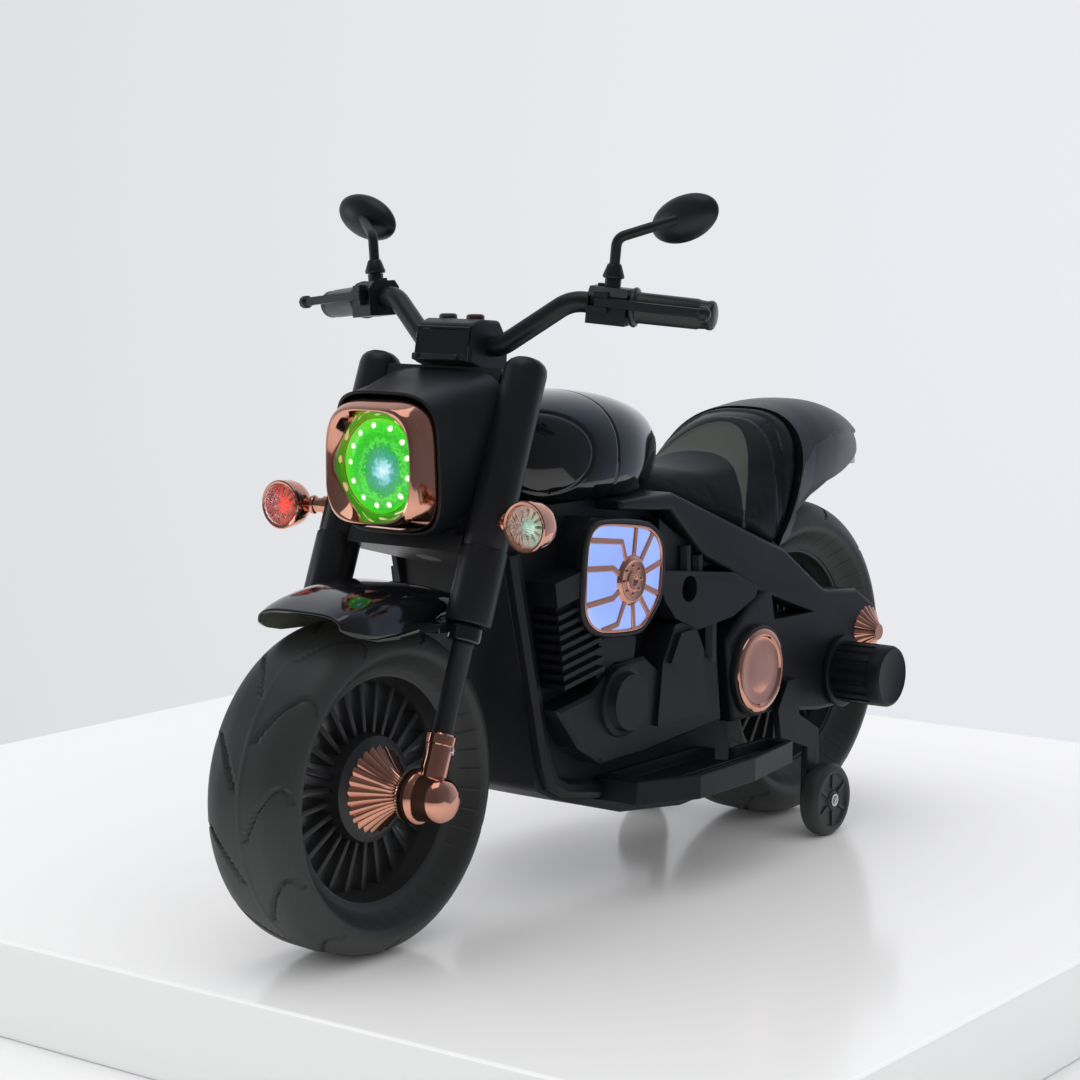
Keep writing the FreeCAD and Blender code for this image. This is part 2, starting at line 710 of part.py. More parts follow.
def body_shells():
    w = hull_half_width
    hull = side_slab(hull_outline(0), 0, w)
    hollow = side_slab(hull_outline(wall), -1, w - wall)
    web = side_slab([neck_line(neck_low, fork_offset), neck_line(neck_high, fork_offset),
                     neck_line(neck_high, 60), neck_line(neck_high - 21, 122), neck_line(neck_low + 11, 70),
                     neck_line(neck_low, 56)], 0, 14)
    neck = prism(neck_radius, fork_pt(0, neck_low, fork_offset), fork_pt(0, neck_high, fork_offset), 16, fork_back)
    neck = neck.common(block(pt(0, 0, 200), pt(100, 300, 600)))
    bore = rod(stem_radius + running_fit, fork_pt(0, neck_low - 1, fork_offset),
               fork_pt(0, neck_high + 1, fork_offset))
    cradle = bent_rod([pt(cradle_x, 134, deck_height - 36), pt(cradle_x, front_tyre_radius + hull_front_gap + 14, 112),
                       pt(cradle_x, board_front, 98)],
                      [36], cradle_radius, 8)
    cradle = cradle.cut(block(pt(0, 0, 0), pt(w - 1, 700, 500)))
    cradle = cradle.cut(block(pt(0, board_front - face_gap, 0), pt(120, 700, 300)))
    well = prism(rear_tyre_radius + wheel_well_gap, rear_hub - X * 100, rear_hub + X * 100, tyre_sides)
    well_skin = prism(rear_tyre_radius + wheel_well_gap + wall, rear_hub - X * 100, rear_hub + X * 100, tyre_sides)
    shell = hull.cut(well).cut(hollow.cut(well_skin))
    shelf = block(pt(0, battery_y - 8, shelf_height - wall),
                  pt(w - wall, battery_y + battery_size[1] + 8, shelf_height))
    post = side_slab(neck_post(0), 0, 14)
    body = shell.fuse([web, post, neck, cradle, shelf]).cut(bore).removeSplitter()
    nodes["body_left"] = body
    nodes["body_right"] = mirrored(body)
    bx, by, bz = battery_size
    nodes["battery"] = block(pt(-bx / 2, battery_y, shelf_height), pt(bx / 2, battery_y + by, shelf_height + bz))


def tank():
    stations = raised(tank_stations, 0, deck_height)
    skin = oval_loft(stations, 2.4, 14)
    hollow = oval_loft([(y + (2 if y < 300 else -2), w, lo, hi) for y, w, lo, hi in stations[:-1]], 2.4, 14, wall)
    cover = skin.cut(hollow).cut(block(pt(-200, 0, 0), pt(200, 700, deck_height + face_gap)))
    slot = side_slab([neck_line(neck_low - 5, fork_offset), neck_line(neck_high + 4, fork_offset),
                      neck_line(neck_high + 4, 66), neck_line(neck_high - 18, 129)], -15, 15)
    cover = cover.cut([slot, side_slab(neck_post(1), -15, 15)])
    cover = cover.cut(rod(neck_radius + 1, fork_pt(0, neck_low, fork_offset), fork_pt(0, neck_high + 4, fork_offset)))
    nodes["tank_cover"] = cover.removeSplitter()


def cowl_front(z, shift=0.0):
    return cowl_front_low + shift + (z - seat_line(seat_line_end)) * cowl_front_lean


def tail():
    stations = raised(cowl_stations, 0, deck_height)
    skin = oval_loft(stations, 2.5, 14)
    hollow = oval_loft(raised(stations, -2, 0), 2.5, 14, wall)
    low = seat_line(cowl_front_low) + face_gap
    z, end, top = deck_height, tail_end + 2, deck_height + 78
    trim = [(cowl_front(low), low, 0), (562, z - 62, 14), (600, z - 24, 40), (690, z - 12, 60),
            (end, z + 2, 0), (end, top, 0), (cowl_front(top), top, 0)]
    nodes["tail_cowl"] = skin.cut(hollow).common(side_slab(trim, -120, 120))
    nodes["tail_light"] = hollow.common(block(pt(-30, tail_end - 42, z - 10), pt(30, tail_end - 4, z + 16)))


def seat():
    stations = raised(seat_stations, 0, deck_height)
    low = seat_line(cowl_front_low) + face_gap
    top = deck_height + 88
    room = side_slab([(360, seat_line(360) + face_gap, 0), (cowl_front(low, -face_gap), low, 0),
                      (cowl_front(top, -face_gap), top, 0), (360, top, 0)], -120, 120)
    tank_room = oval_loft(raised(tank_stations, 0, deck_height), 2.4, 14, -1.0)
    half = X * hull_half_width
    wheel_room = prism(rear_tyre_radius + seat_wheel_gap, rear_hub - half, rear_hub + half, tyre_sides)
    nodes["seat_saddle"] = oval_loft(stations, 2.5, 14).common(room).cut(tank_room).cut(wheel_room)


def arm_outline():
    end = seat_line_end
    top = deck_height - face_gap
    y, z = station_marks[2], rear_tyre_radius
    return [(rail_front, top, 0), (seat_line_start, top, 0), (end, seat_line(end) - face_gap, 0), (y - 30, z + 78, 50),
            (y + 32, z + 72, 0), (y + 79, z + 46, 24), (y + 70, z - 6, 0), (y + 42, z - 44, 0), (y - 38, z - 43, 0),
            (y - 128, z - 31, 0), (y - 200, z - 30, 0), (y - 210, z + 52, 0),
            (474, seat_line(474) - 72, 0), (498, seat_line(498) - 53, 0), (396, seat_line(396) - 44, 0), (342, top - 16, 0), (rail_front, top - 9, 0)]


def rear_frame():
    w, outer = hull_half_width, arm_half_outer
    arm = side_slab(arm_outline(), w, outer)
    arm = arm.makeChamfer(3, [e for e in arm.Edges if all(abs(v.X - outer) < 0.01 for v in e.Vertexes)])
    y, z = station_marks[2], rear_tyre_radius
    arm = arm.cut(side_slab([(y - 132, z + 85, 0), (y - 56, z + 59, 0), (y - 126, z + 60, 0)], 0, 200))
    arm = arm.cut(prism(rear_axle_radius + face_gap, rear_hub, rear_hub + X * 200, 12))
    nodes["swingarm_left"] = arm
    nodes["swingarm_right"] = mirrored(arm)
    half = outer + 30
    axle = rod(rear_axle_radius, rear_hub - X * half, rear_hub + X * half)
    collar = prism(11, rear_hub + X * (rim_face + face_gap), rear_hub + X * (w - face_gap), 12)
    nodes["rear_axle"] = axle.fuse(collar).removeSplitter()
    case = side_slab([(y - 42, z - 32, 0), (y + 42, z - 36, 0), (y + 44, z + 38, 0), (y - 36, z + 74, 0),
                      (y - 72, z + 48, 0)],
                     face_gap - w, -rim_face - dog_depth - face_gap)
    nodes["gearbox"] = case.cut(prism(rear_axle_radius + 1, rear_hub, rear_hub - X * 200, 12))
    bobbins(half)
    cap = fluted_cone(pt(0, rear_cap_y, z + rear_cap_rise), outer, rear_cap_radius, 9, 15, cap_flutes)
    room = prism(bobbin_flange_radius + trim_gap, bobbin_axis, bobbin_axis + X * 200, bobbin_sides)
    nodes["rear_caps"] = pair(cap.cut(room))


bobbin_axis = rear_hub - Z * bobbin_drop


def bobbins(axle_end):
    outer, tip, r = arm_half_outer, bobbin_end, bobbin_radius
    flange = spun([(outer, bobbin_flange_radius), (outer + 6, bobbin_flange_radius)], bobbin_axis, X, bobbin_sides)
    waist = skin([star(bobbin_axis, x, r, bobbin_ribs, 0.06) for x in (outer + 5, tip - 13)])
    lid = spun([(tip - 14, r), (tip - 3, r - 1), (tip, r - 4)], bobbin_axis, X, bobbin_sides)
    body = flange.fuse([waist, lid]).removeSplitter()
    bore = prism(rear_axle_radius + face_gap, rear_hub, rear_hub + X * (axle_end + face_gap), 12)
    nodes["axle_bobbins"] = pair(body.cut(bore))


def cleaner_outline(grow):
    y, z, g = cleaner_y, cleaner_z, grow
    return [(y - 40 - g, z + 53 + g, 0), (y + 34 + g, z + 42 + g, 0), (y + 52 + g, z + 24, 0), (y + 49 + g, z - 24, 0),
            (y + 22 + g, z - 51 - g, 0), (y - 38, z - 46 - g, 0), (y - 57 - g, z - 28, 0), (y - 53 - g, z + 38, 0)]


def finned_barrel(foot, axis):
    # Square-shouldered cooling fins round a barrel, under a sloped head
    w, half = hull_half_width, fin_half_width
    solids = []
    for low, high, reach in [(0, barrel_height, half - 6)] + [
            (i * fin_pitch + 3, i * fin_pitch + 7, half) for i in range(fin_count)] + [
            (barrel_height, barrel_height + 22, half + 2)]:
        edge = [(w - 2, -reach), (w + reach, -reach), (w + reach, reach), (w - 2, reach)]
        corners = [V(x, foot.y, foot.z) + axis * low + V(0, axis.z, -axis.y) * b for x, b in edge]
        solids.append(facet(corners).extrude(axis * (high - low)))
    return solids


def engine_side():
    w, face = hull_half_width, engine_face
    crank = side_slab([(170, 186, 0), (204, 147, 0), (240, 127, 0), (300, 127, 0), (432, 137, 0),
                       (424, 205, 0), (330, 199, 0), (304, 216, 0), (258, 214, 0), (224, 194, 0)], w, face)
    crank = crank.makeChamfer(3, [e for e in crank.Edges if all(abs(v.X - face) < 0.01 for v in e.Vertexes)])
    clutch = pt(0, clutch_y, clutch_z)
    r = clutch_radius
    cover = spun([(face - 4, r + 6), (face + 3, r + 5), (face + 4, r), (face + 12, r - 2)], clutch, X, 16)
    pump = side_slab([(236, 204, 0), (262, 216, 0), (292, 214, 0), (296, 234, 0), (268, 246, 0), (240, 238, 0),
                      (228, 220, 0)], w, face - 5)
    buckle = side_slab([(318, 150, 0), (326, 208, 0), (346, 240, 0), (376, 242, 0), (394, 210, 0),
                        (398, 150, 0)], w, face + 4)
    strap = side_slab([(334, 206, 0), (350, 232, 0), (372, 233, 0), (384, 206, 0)], w, face + 8)
    vial = spun([(196, 9), (238, 9)], pt(face - 6, 414, 0), Z, 8, X)
    barrel = finned_barrel(pt(0, 206, 206), V(0, -0.16, 1).normalize())
    house = side_slab(cleaner_outline(4), w, cleaner_face - 4)
    z = cleaner_z
    tray = side_slab([(312, z, 0), (496, z - 23, 0), (478, z - 45, 0), (440, z - 58, 0), (382, z - 63, 0),
                      (344, z - 48, 0), (326, z - 30, 0)], w, face + 6)
    tray = tray.cut(prism(12.5, pt(face - 8, 366, z - 23), pt(face + 20, 366, z - 23), 16))
    bin_back = side_slab([(336, z - 9, 0), (336, z + 44, 0), (352, z + 34, 0), (430, z - 8, 0)], w, face - 8)
    jars = [spun([(z - 10, 8), (z + top, 8)], pt(face - 8, y, 0), Z, 8, X) for y, top in ((374, 16), (394, 5))]
    engine = crank.fuse([cover, pump, buckle, strap, vial, house, tray, bin_back] + jars + barrel)
    engine = engine.cut(block(pt(-50, 0, 0), pt(w, 900, 600)))
    engine = engine.cut(side_slab(cleaner_outline(2 + face_gap), cleaner_face - 4, cleaner_face + 20))
    engine = engine.cut(side_slab(arm_outline(), w - 1, arm_half_outer + 20))
    return engine.cut(nodes["body_left"]).removeSplitter()


def side_trim():
    engine = engine_side()
    nodes["engine_left"] = engine
    nodes["engine_right"] = mirrored(engine)
    face = cleaner_face
    nodes["cleaner_panels"] = pair(side_slab(cleaner_outline(0), face - 4, face))
    frame = side_slab(cleaner_outline(2), face, face + 4).cut(side_slab(cleaner_outline(-2.5), face - 1, face + 5))
    hub = pt(0, cleaner_y, cleaner_z)
    boss = spun([(face, 17), (face + 6, 12)], hub, X, 11)
    bar = Part.makeBox(4, grille_bar, 80, hub + V(face, -grille_bar / 2, 10))
    bars = [b.common(side_slab(cleaner_outline(-1), face, face + 4)) for b in turned(bar, grille_spokes, hub, X)]
    nodes["cleaner_grilles"] = pair(frame.fuse([boss] + bars).removeSplitter())
    outer, r = arm_half_outer, timing_radius
    disc_cover = spun([(outer, r), (outer + 6, r), (outer + 9, r - 4), (outer + 7, r - 8)],
                      pt(0, timing_y, timing_z), X, 16)
    nodes["timing_covers"] = pair(disc_cover)


def footboards():
    w, out = hull_half_width, board_outer
    front, back = board_front, board_back
    shape = [(w, front, 0), (w + 46, front, 0), (out, front + 58, 0), (out, back - 90, 0),
             (out - 14, back, 0), (w + 30, back, 0), (w + 30, back - 70, 0), (w, back - 74, 0)]
    pan = [(w + 5, front + 16, 0), (w + 42, front + 16, 0), (out - 6, front + 62, 0), (out - 6, back - 92, 0),
           (out - 19, back - 8, 0), (w + 36, back - 8, 0), (w + 36, back - 62, 0), (w + 5, back - 80, 0)]
    deck = plan_slab(shape, board_base, board_rim)
    deck = deck.cut(plan_slab(pan, board_floor, board_rim + 1))
    deck = deck.cut(plan_slab(pan, board_base - 1, board_floor - wall))
    ribs = []
    for i in range(board_ribs):
        x = w + 40 + i * 7.0
        ribs.append(block(pt(x, front + 74, board_floor - 1), pt(x + 3, back - 62, board_floor + 3)))
    left = deck.fuse(ribs).removeSplitter()
    nodes["footboard_left"] = left
    pedal(left)


def pedal(board):
    # Foot switch hinged across two ears on the right footboard
    near, far = hull_half_width + 12, hull_half_width + 32
    y, z = board_front + 150, board_floor + 5
    pin = rod(pedal_pin, pt(-far, y, z), pt(-near, y, z))
    ears = [block(pt(-x - 4, y - 5, board_floor - 1), pt(-x, y + 5, z + 4)) for x in (near - 4, far)]
    nodes["footboard_right"] = mirrored(board).fuse(ears + [pin]).removeSplitter()
    plate = side_slab([(y - 62, z + 6, 0), (y - 62, z + 10, 0), (y + 4, z + 5, 0), (y + 6, z - 3, 0), (y - 6, z - 3, 0)],
                      0.5 - far, -near - 0.5)
    nodes["accelerator_pedal"] = plate.cut(rod(pedal_pin + running_fit, pt(-far, y, z), pt(-near, y, z)))


def stabilisers():
    r = stabiliser_radius
    outer = arm_half_outer
    axle = pt(0, stabiliser_y, r)
    back = stabiliser_y
    blade = side_slab([(back - 67, 134, 0), (back - 49, 160, 0), (back - 31, 160, 0), (back - 27, 124, 0),
                       (back + 10, 104, 0), (back + 13, 26, 0), (back - 13, 26, 0), (back - 11, 88, 0), (back - 61, 106, 0)], outer, outer + 7)
    low, high = stabiliser_inner, stabiliser_inner + stabiliser_width
    pin = rod(stabiliser_pin, axle + X * outer, axle + X * (high + 1))
    nodes["stabiliser_arms"] = pair(blade.fuse(pin).removeSplitter())
    r = r / math.cos(math.pi / stabiliser_sides)
    wheel = spun([(low, r - 4), (low + 4, r), (high - 4, r), (high, r - 4)], axle, X, stabiliser_sides)
    gap = block(axle + V(low - 1, -2.5, 13), axle + V(high + 1, 2.5, 25))
    wheel = wheel.cut(turned(gap, stabiliser_slots, axle, X))
    wheel = wheel.cut(rod(stabiliser_pin + running_fit, axle, axle + X * (high + 5)))
    nodes["stabiliser_wheel_left"] = wheel
    nodes["stabiliser_wheel_right"] = mirrored(wheel)


front_wheel()
rear_wheel()
fork()
steering_head()
front_axle()
front_fender()
nacelle()
headlight()
signals()
handlebar()
dash()
controls()
mirrors()
body_shells()
tank()
tail()
seat()
rear_frame()
side_trim()
footboards()
stabilisers()

os.makedirs("parts", exist_ok=True)
for name, shape in nodes.items():
    shape.exportStep("parts/" + name + ".step")
    print(name, len(shape.Solids), round(shape.Volume / 1000, 1), shape.isValid())
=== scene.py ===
import bisect
import json
from math import asin, atan2, copysign, cos, hypot, pi, radians, sin, sqrt

import bmesh
import bpy
from mathutils import Matrix, Vector


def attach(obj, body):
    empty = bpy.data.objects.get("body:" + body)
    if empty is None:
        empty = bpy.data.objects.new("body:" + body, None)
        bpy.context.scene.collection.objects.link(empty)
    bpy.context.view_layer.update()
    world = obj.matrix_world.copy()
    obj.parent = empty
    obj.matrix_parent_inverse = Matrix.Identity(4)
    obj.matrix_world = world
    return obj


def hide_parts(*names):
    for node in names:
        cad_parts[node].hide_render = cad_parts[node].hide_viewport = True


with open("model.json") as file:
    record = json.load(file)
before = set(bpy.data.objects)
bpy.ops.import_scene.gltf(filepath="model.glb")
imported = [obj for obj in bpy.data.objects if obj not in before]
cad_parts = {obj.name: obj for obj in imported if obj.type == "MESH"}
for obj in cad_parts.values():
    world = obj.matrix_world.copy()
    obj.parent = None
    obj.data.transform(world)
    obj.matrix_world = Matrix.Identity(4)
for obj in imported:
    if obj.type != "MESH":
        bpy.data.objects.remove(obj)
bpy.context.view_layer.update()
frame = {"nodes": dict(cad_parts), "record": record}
nodes = frame["nodes"]
record = frame["record"]
bodyOf = {node: body for body, members in record["behaviour"]["bodies"].items() for node in members}
slotOf = {part["node"]: part["material_slot"] for part in record["subparts"]}
scene = bpy.context.scene
scene.view_settings.view_transform = "Standard"
print("frame loaded:", len(nodes), "nodes")

# Places are given in millimetres, with y measured rearward from the front axle
mm = 0.001
frontAxleY = -335.0
frontRadius, rearRadius = 140, 162
legHalf = 80
rake = radians(21.2)
forkUp = Vector((0, sin(rake), cos(rake)))
axisX, axisY, axisZ = Vector((1, 0, 0)), Vector((0, 1, 0)), Vector((0, 0, 1))


def at(x, y, z):
    return Vector((x, y + frontAxleY, z)) * mm


def spotOf(vert):
    return vert.co.x / mm, vert.co.y / mm - frontAxleY, vert.co.z / mm


def forkAt(x, s):
    return at(x, 0, frontRadius) + forkUp * s * mm


barKnee = at(97, 174, 541)
barTip = at(206, 216, 530)
barDir = (barTip - barKnee).normalized()
barTurn = axisX.rotation_difference(barDir)
barUp = barTurn @ axisZ


def barAt(a, b, c):
    return barKnee + barTurn @ (Vector((a, b, c)) * mm)


cameraLook = {"place": (1.4046, -1.943, 0.6207), "turn": 36.954, "tilt": 7.329, "lens": 86.667}


def setCamera():
    turn, tilt = radians(cameraLook["turn"]), radians(cameraLook["tilt"])
    back = Vector((sin(turn) * cos(tilt), -cos(turn) * cos(tilt), sin(tilt)))
    data = bpy.data.cameras.new("camera")
    data.lens = cameraLook["lens"]
    data.sensor_width = 36
    camera = bpy.data.objects.new("camera", data)
    camera.location = cameraLook["place"]
    camera.rotation_euler = (-back).to_track_quat("-Z", "Y").to_euler()
    scene.collection.objects.link(camera)
    scene.camera = camera


# Shared surface effects

def startGroup(name, inputs, outputs):
    group = bpy.data.node_groups.new(name, "ShaderNodeTree")
    for label, value in inputs:
        group.interface.new_socket(label, in_out="INPUT", socket_type="NodeSocketFloat").default_value = value
    for label in outputs:
        group.interface.new_socket(label, in_out="OUTPUT", socket_type="NodeSocketFloat")
    return group, group.nodes.new("NodeGroupInput"), group.nodes.new("NodeGroupOutput")


def add(tree, kind):
    return tree.nodes.new("ShaderNode" + kind)


def join(source, target):
    source.id_data.links.new(source, target)


def feed(socket, value):
    # Links a socket, or sets a plain number, vector or colour
    if isinstance(value, bpy.types.NodeSocket):
        join(value, socket)
    else:
        socket.default_value = (*value, 1.0) if socket.type == "RGBA" else value


def feedAll(node, values):
    for label, value in values.items():
        feed(node.inputs[label], value)


def surface(tree):
    return add(tree, "TexCoord").outputs["Object"]


def noise(tree, vector, scale, detail=2.0, rough=0.5):
    node = add(tree, "TexNoise")
    feedAll(node, {"Vector": vector, "Scale": scale, "Detail": detail, "Roughness": rough})
    return node.outputs["Fac"]


def remap(tree, value, low, high, toLow=0.0, toHigh=1.0):
    node = add(tree, "MapRange")
    feedAll(node, {"Value": value, "From Min": low, "From Max": high, "To Min": toLow, "To Max": toHigh})
    return node.outputs["Result"]


def sums(tree, operation, a, b):
    node = add(tree, "Math")
    node.operation = operation
    feed(node.inputs[0], a)
    feed(node.inputs[1], b)
    return node.outputs[0]


def mixColour(tree, factor, a, b):
    node = add(tree, "Mix")
    node.data_type = "RGBA"
    for number, value in ((0, factor), (6, a), (7, b)):
        feed(node.inputs[number], value)
    return node.outputs[2]


def colourRamp(tree, value, stops):
    ramp = add(tree, "ValToRGB")
    elements = ramp.color_ramp.elements
    while len(elements) < len(stops):
        elements.new(0.5)
    for element, (position, colour) in zip(elements, stops):
        element.position = position
        element.color = (*colour, 1)
    join(value, ramp.inputs["Fac"])
    return ramp.outputs["Color"]


def bumped(tree, shader, height, strength, distance=0.001):
    dent = add(tree, "Bump")
    feedAll(dent, {"Height": height, "Strength": strength, "Distance": distance})
    join(dent.outputs["Normal"], shader.inputs["Normal"])


def mouldGroup():
    # Fine moulded grain, broad patches and light handling scuffs
    group, inputs, outputs = startGroup("mouldedGrain", [("Fine", 900.0), ("Broad", 9.0)],
                                        ["Height", "Patches", "Scuffs"])
    spots = surface(group)
    broad = noise(group, spots, inputs.outputs["Broad"], 4.0)
    stretch = add(group, "Mapping")
    feedAll(stretch, {"Vector": spots, "Scale": (60, 420, 90), "Rotation": (0.5, 0.3, 0.8)})
    streaks = remap(group, noise(group, stretch.outputs["Vector"], 1.0), 0.66, 0.78)
    feedAll(outputs, {"Height": noise(group, spots, inputs.outputs["Fine"], 3.0, 0.6),
                      "Patches": remap(group, broad, 0.3, 0.7),
                      "Scuffs": sums(group, "MULTIPLY", streaks, remap(group, broad, 0.45, 0.75))})
    return group


grainGroup = mouldGroup()


# Materials

def startMaterial(name):
    material = bpy.data.materials.new(name)
    material.use_nodes = True
    tree = material.node_tree
    return material, tree, tree.nodes["Principled BSDF"]


def finish(name, colour, tint, rough, spread, fine, broad, bump, metal=0.0, coat=0.0, scuff=None, specular=0.5):
    # A moulded, rubber or plated surface with grain, patches and scuffs
    material, tree, shader = startMaterial(name)
    grain = add(tree, "Group")
    grain.node_tree = grainGroup
    feedAll(grain, {"Fine": fine, "Broad": broad})
    patches = grain.outputs["Patches"]
    base = mixColour(tree, patches, colour, tint)
    if scuff:
        base = mixColour(tree, grain.outputs["Scuffs"], base, scuff)
    feedAll(shader, {"Base Color": base, "Roughness": remap(tree, patches, 0.0, 1.0, rough, rough + spread),
                     "Metallic": metal, "Coat Weight": coat, "Coat Roughness": 0.08, "Specular IOR Level": specular})
    bumped(tree, shader, grain.outputs["Height"], bump)
    return material


satinBlack = finish("satinBlackPlastic", (0.004, 0.0047, 0.0062), (0.006, 0.0067, 0.0085), 0.34, 0.1, 1400.0, 8.0, 0.06,
                    scuff=(0.014, 0.014, 0.016), specular=0.42)
frameBlack = finish("frameBlackPlastic", (0.0034, 0.0042, 0.006), (0.0052, 0.006, 0.008), 0.4, 0.12, 1100.0, 10.0, 0.08,
                    scuff=(0.012, 0.012, 0.014), specular=0.3)
tyreBlack = finish("tyreBlackMoulding", (0.017, 0.0188, 0.018), (0.022, 0.024, 0.0232), 0.42, 0.12, 800.0, 7.0, 0.1,
                   scuff=(0.025, 0.025, 0.024))
rimBlack = finish("rimBlackMoulding", (0.011, 0.0115, 0.0125), (0.016, 0.0165, 0.0175), 0.34, 0.1, 1000.0, 14.0, 0.06)
glossBlack = finish("glossBlackPaint", (0.003, 0.0034, 0.0045), (0.0045, 0.005, 0.006), 0.06, 0.04, 260.0, 6.0, 0.006,
                    coat=0.4, scuff=(0.008, 0.008, 0.009))
underGrey = finish("mouldingUnderside", (0.20, 0.20, 0.155), (0.24, 0.24, 0.19), 0.5, 0.15, 900.0, 14.0, 0.08)
gripBlack = finish("gripBlackRubber", (0.008, 0.0088, 0.0088), (0.012, 0.0128, 0.0126), 0.28, 0.1, 1600.0, 30.0, 0.05,
                   scuff=(0.03, 0.03, 0.03))
copper = finish("copperPlating", (0.76, 0.39, 0.285), (0.67, 0.31, 0.215), 0.07, 0.07, 240.0, 26.0, 0.01, metal=1.0,
                scuff=(0.80, 0.52, 0.42))
bronze = finish("bronzeCollar", (0.26, 0.15, 0.10), (0.20, 0.11, 0.075), 0.16, 0.1, 240.0, 40.0, 0.01, metal=1.0)
chrome = finish("chromeScrew", (0.72, 0.73, 0.75), (0.6, 0.6, 0.62), 0.1, 0.1, 400.0, 60.0, 0.01, metal=1.0)
steel = finish("zincSteel", (0.5, 0.5, 0.51), (0.42, 0.42, 0.43), 0.25, 0.15, 600.0, 40.0, 0.03, metal=1.0)
redButton = finish("darkRedButtonPlastic", (0.022, 0.006, 0.006), (0.03, 0.008, 0.008), 0.22, 0.1, 900.0, 60.0, 0.02)
greyButton = finish("greyButtonPlastic", (0.012, 0.012, 0.014), (0.018, 0.018, 0.02), 0.25, 0.1, 900.0, 60.0, 0.02)
silverGlass = finish("mirrorSilver", (0.8, 0.81, 0.83), (0.76, 0.77, 0.79), 0.02, 0.03, 200.0, 12.0, 0.002, metal=1.0)
batteryGrey = finish("batteryCasePlastic", (0.1, 0.1, 0.11), (0.13, 0.13, 0.14), 0.4, 0.15, 900.0, 14.0, 0.06)


def lampGlass(name, colour, rough):
    material, tree, shader = startMaterial(name)
    spots = surface(tree)
    feedAll(shader, {"Base Color": colour, "Transmission Weight": 1.0, "IOR": 1.3,
                     "Roughness": remap(tree, noise(tree, spots, 60.0, 3.0), 0.3, 0.7, rough, rough + 0.03)})
    bumped(tree, shader, noise(tree, spots, 120.0), 0.04)
    return material


clearLens = lampGlass("clearLens", (0.97, 1.0, 0.97), 0.0)
tailLens = lampGlass("tailLens", (0.86, 0.84, 0.82), 0.12)


def glow(name, stops, centre, spread, strength, grain, ownColour=(0.05, 0.05, 0.05)):
    # Lit plastic whose colour changes outward from a centre, with a mottled brightness; also used to paint glow and
    # glints onto the bezel dish and the left signal dish, which are no lamps
    material, tree, shader = startMaterial(name)
    spots = surface(tree)
    shift = add(tree, "Mapping")
    shift.vector_type = "TEXTURE"
    feedAll(shift, {"Vector": spots, "Location": centre, "Scale": spread})
    length = add(tree, "VectorMath")
    length.operation = "LENGTH"
    join(shift.outputs["Vector"], length.inputs[0])
    mottled = remap(tree, noise(tree, spots, grain, 3.0), 0.3, 0.7, -0.09, 0.09)
    outward = sums(tree, "ADD", length.outputs["Value"], mottled)
    feedAll(shader, {"Emission Color": colourRamp(tree, outward, stops), "Emission Strength": strength,
                     "Base Color": ownColour,
                     "Roughness": remap(tree, noise(tree, spots, grain * 2), 0.3, 0.7, 0.15, 0.35)})
    return material


lampHeight = 405.5
greenGlow = glow("greenLampGlow", [(0.0, (0.80, 0.97, 1.0)), (0.17, (0.36, 0.76, 0.84)), (0.30, (0.06, 0.40, 0.28)),
                                   (0.50, (0.03, 0.40, 0.06)), (0.60, (0.10, 0.85, 0.05)), (0.68, (0.03, 0.50, 0.02)),
                                   (0.90, (0.04, 0.78, 0.012)), (1.0, (0.12, 0.75, 0.02))],
                 at(5, 40, 402), (0.038, 0.2, 0.0405), 0.95, 260.0)
dotGlow = glow("whiteDotGlow", [(0.0, (0.95, 1.0, 0.85)), (1.0, (0.75, 1.0, 0.6))],
               at(0, 40, lampHeight), (0.038, 0.2, 0.045), 1.4, 200.0)
# Painted glow: the bezel's copper dish is no lamp, and this glow stands for the lamp's light reflected on it
dishPaintedGlow = glow("dishEdgePaintedGlow", [(0.0, (0.34, 0.50, 0.02)), (0.5, (0.24, 0.30, 0.02)), (0.75, (0.06, 0.06, 0.01)),
                                (1.0, (0.03, 0.02, 0.01))],
                at(30, 36, lampHeight), (0.09, 0.2, 0.085), 0.7, 90.0, (0.5, 0.28, 0.18))
blueGlow = glow("bluePanelGlow", [(0.0, (0.33, 0.40, 0.95)), (0.4, (0.27, 0.40, 0.95)), (0.75, (0.30, 0.47, 1.0)),
                                  (1.0, (0.50, 0.62, 1.0))], at(90, 262, 294), (1, 0.075, 0.075), 0.95, 26.0)
redGlow = glow("redSignalGlow", [(0.0, (1.0, 0.12, 0.08)), (0.5, (0.6, 0.03, 0.02)), (1.0, (0.2, 0.03, 0.03))],
               at(-134, 62, 361.5), (0.019, 0.1, 0.019), 1.0, 320.0, (0.4, 0.1, 0.1))
# Painted glints: the left signal's silver dish glows in pale green and red patches that stand for glints
paleSignalPaintedGlints = glow("paleDishPaintedGlints", [(0.0, (0.75, 1.0, 0.86)), (0.3, (0.22, 0.50, 0.38)), (0.55, (0.42, 0.42, 0.36)),
                                   (0.8, (0.45, 0.16, 0.15)), (1.0, (0.36, 0.35, 0.3))],
                at(139, 62, 359), (0.024, 0.1, 0.024), 0.6, 300.0, (0.55, 0.55, 0.52))


def bandMask(tree, name):
    reader = add(tree, "Attribute")
    reader.attribute_name = name
    return remap(tree, reader.outputs["Fac"], -0.4, 0.4)


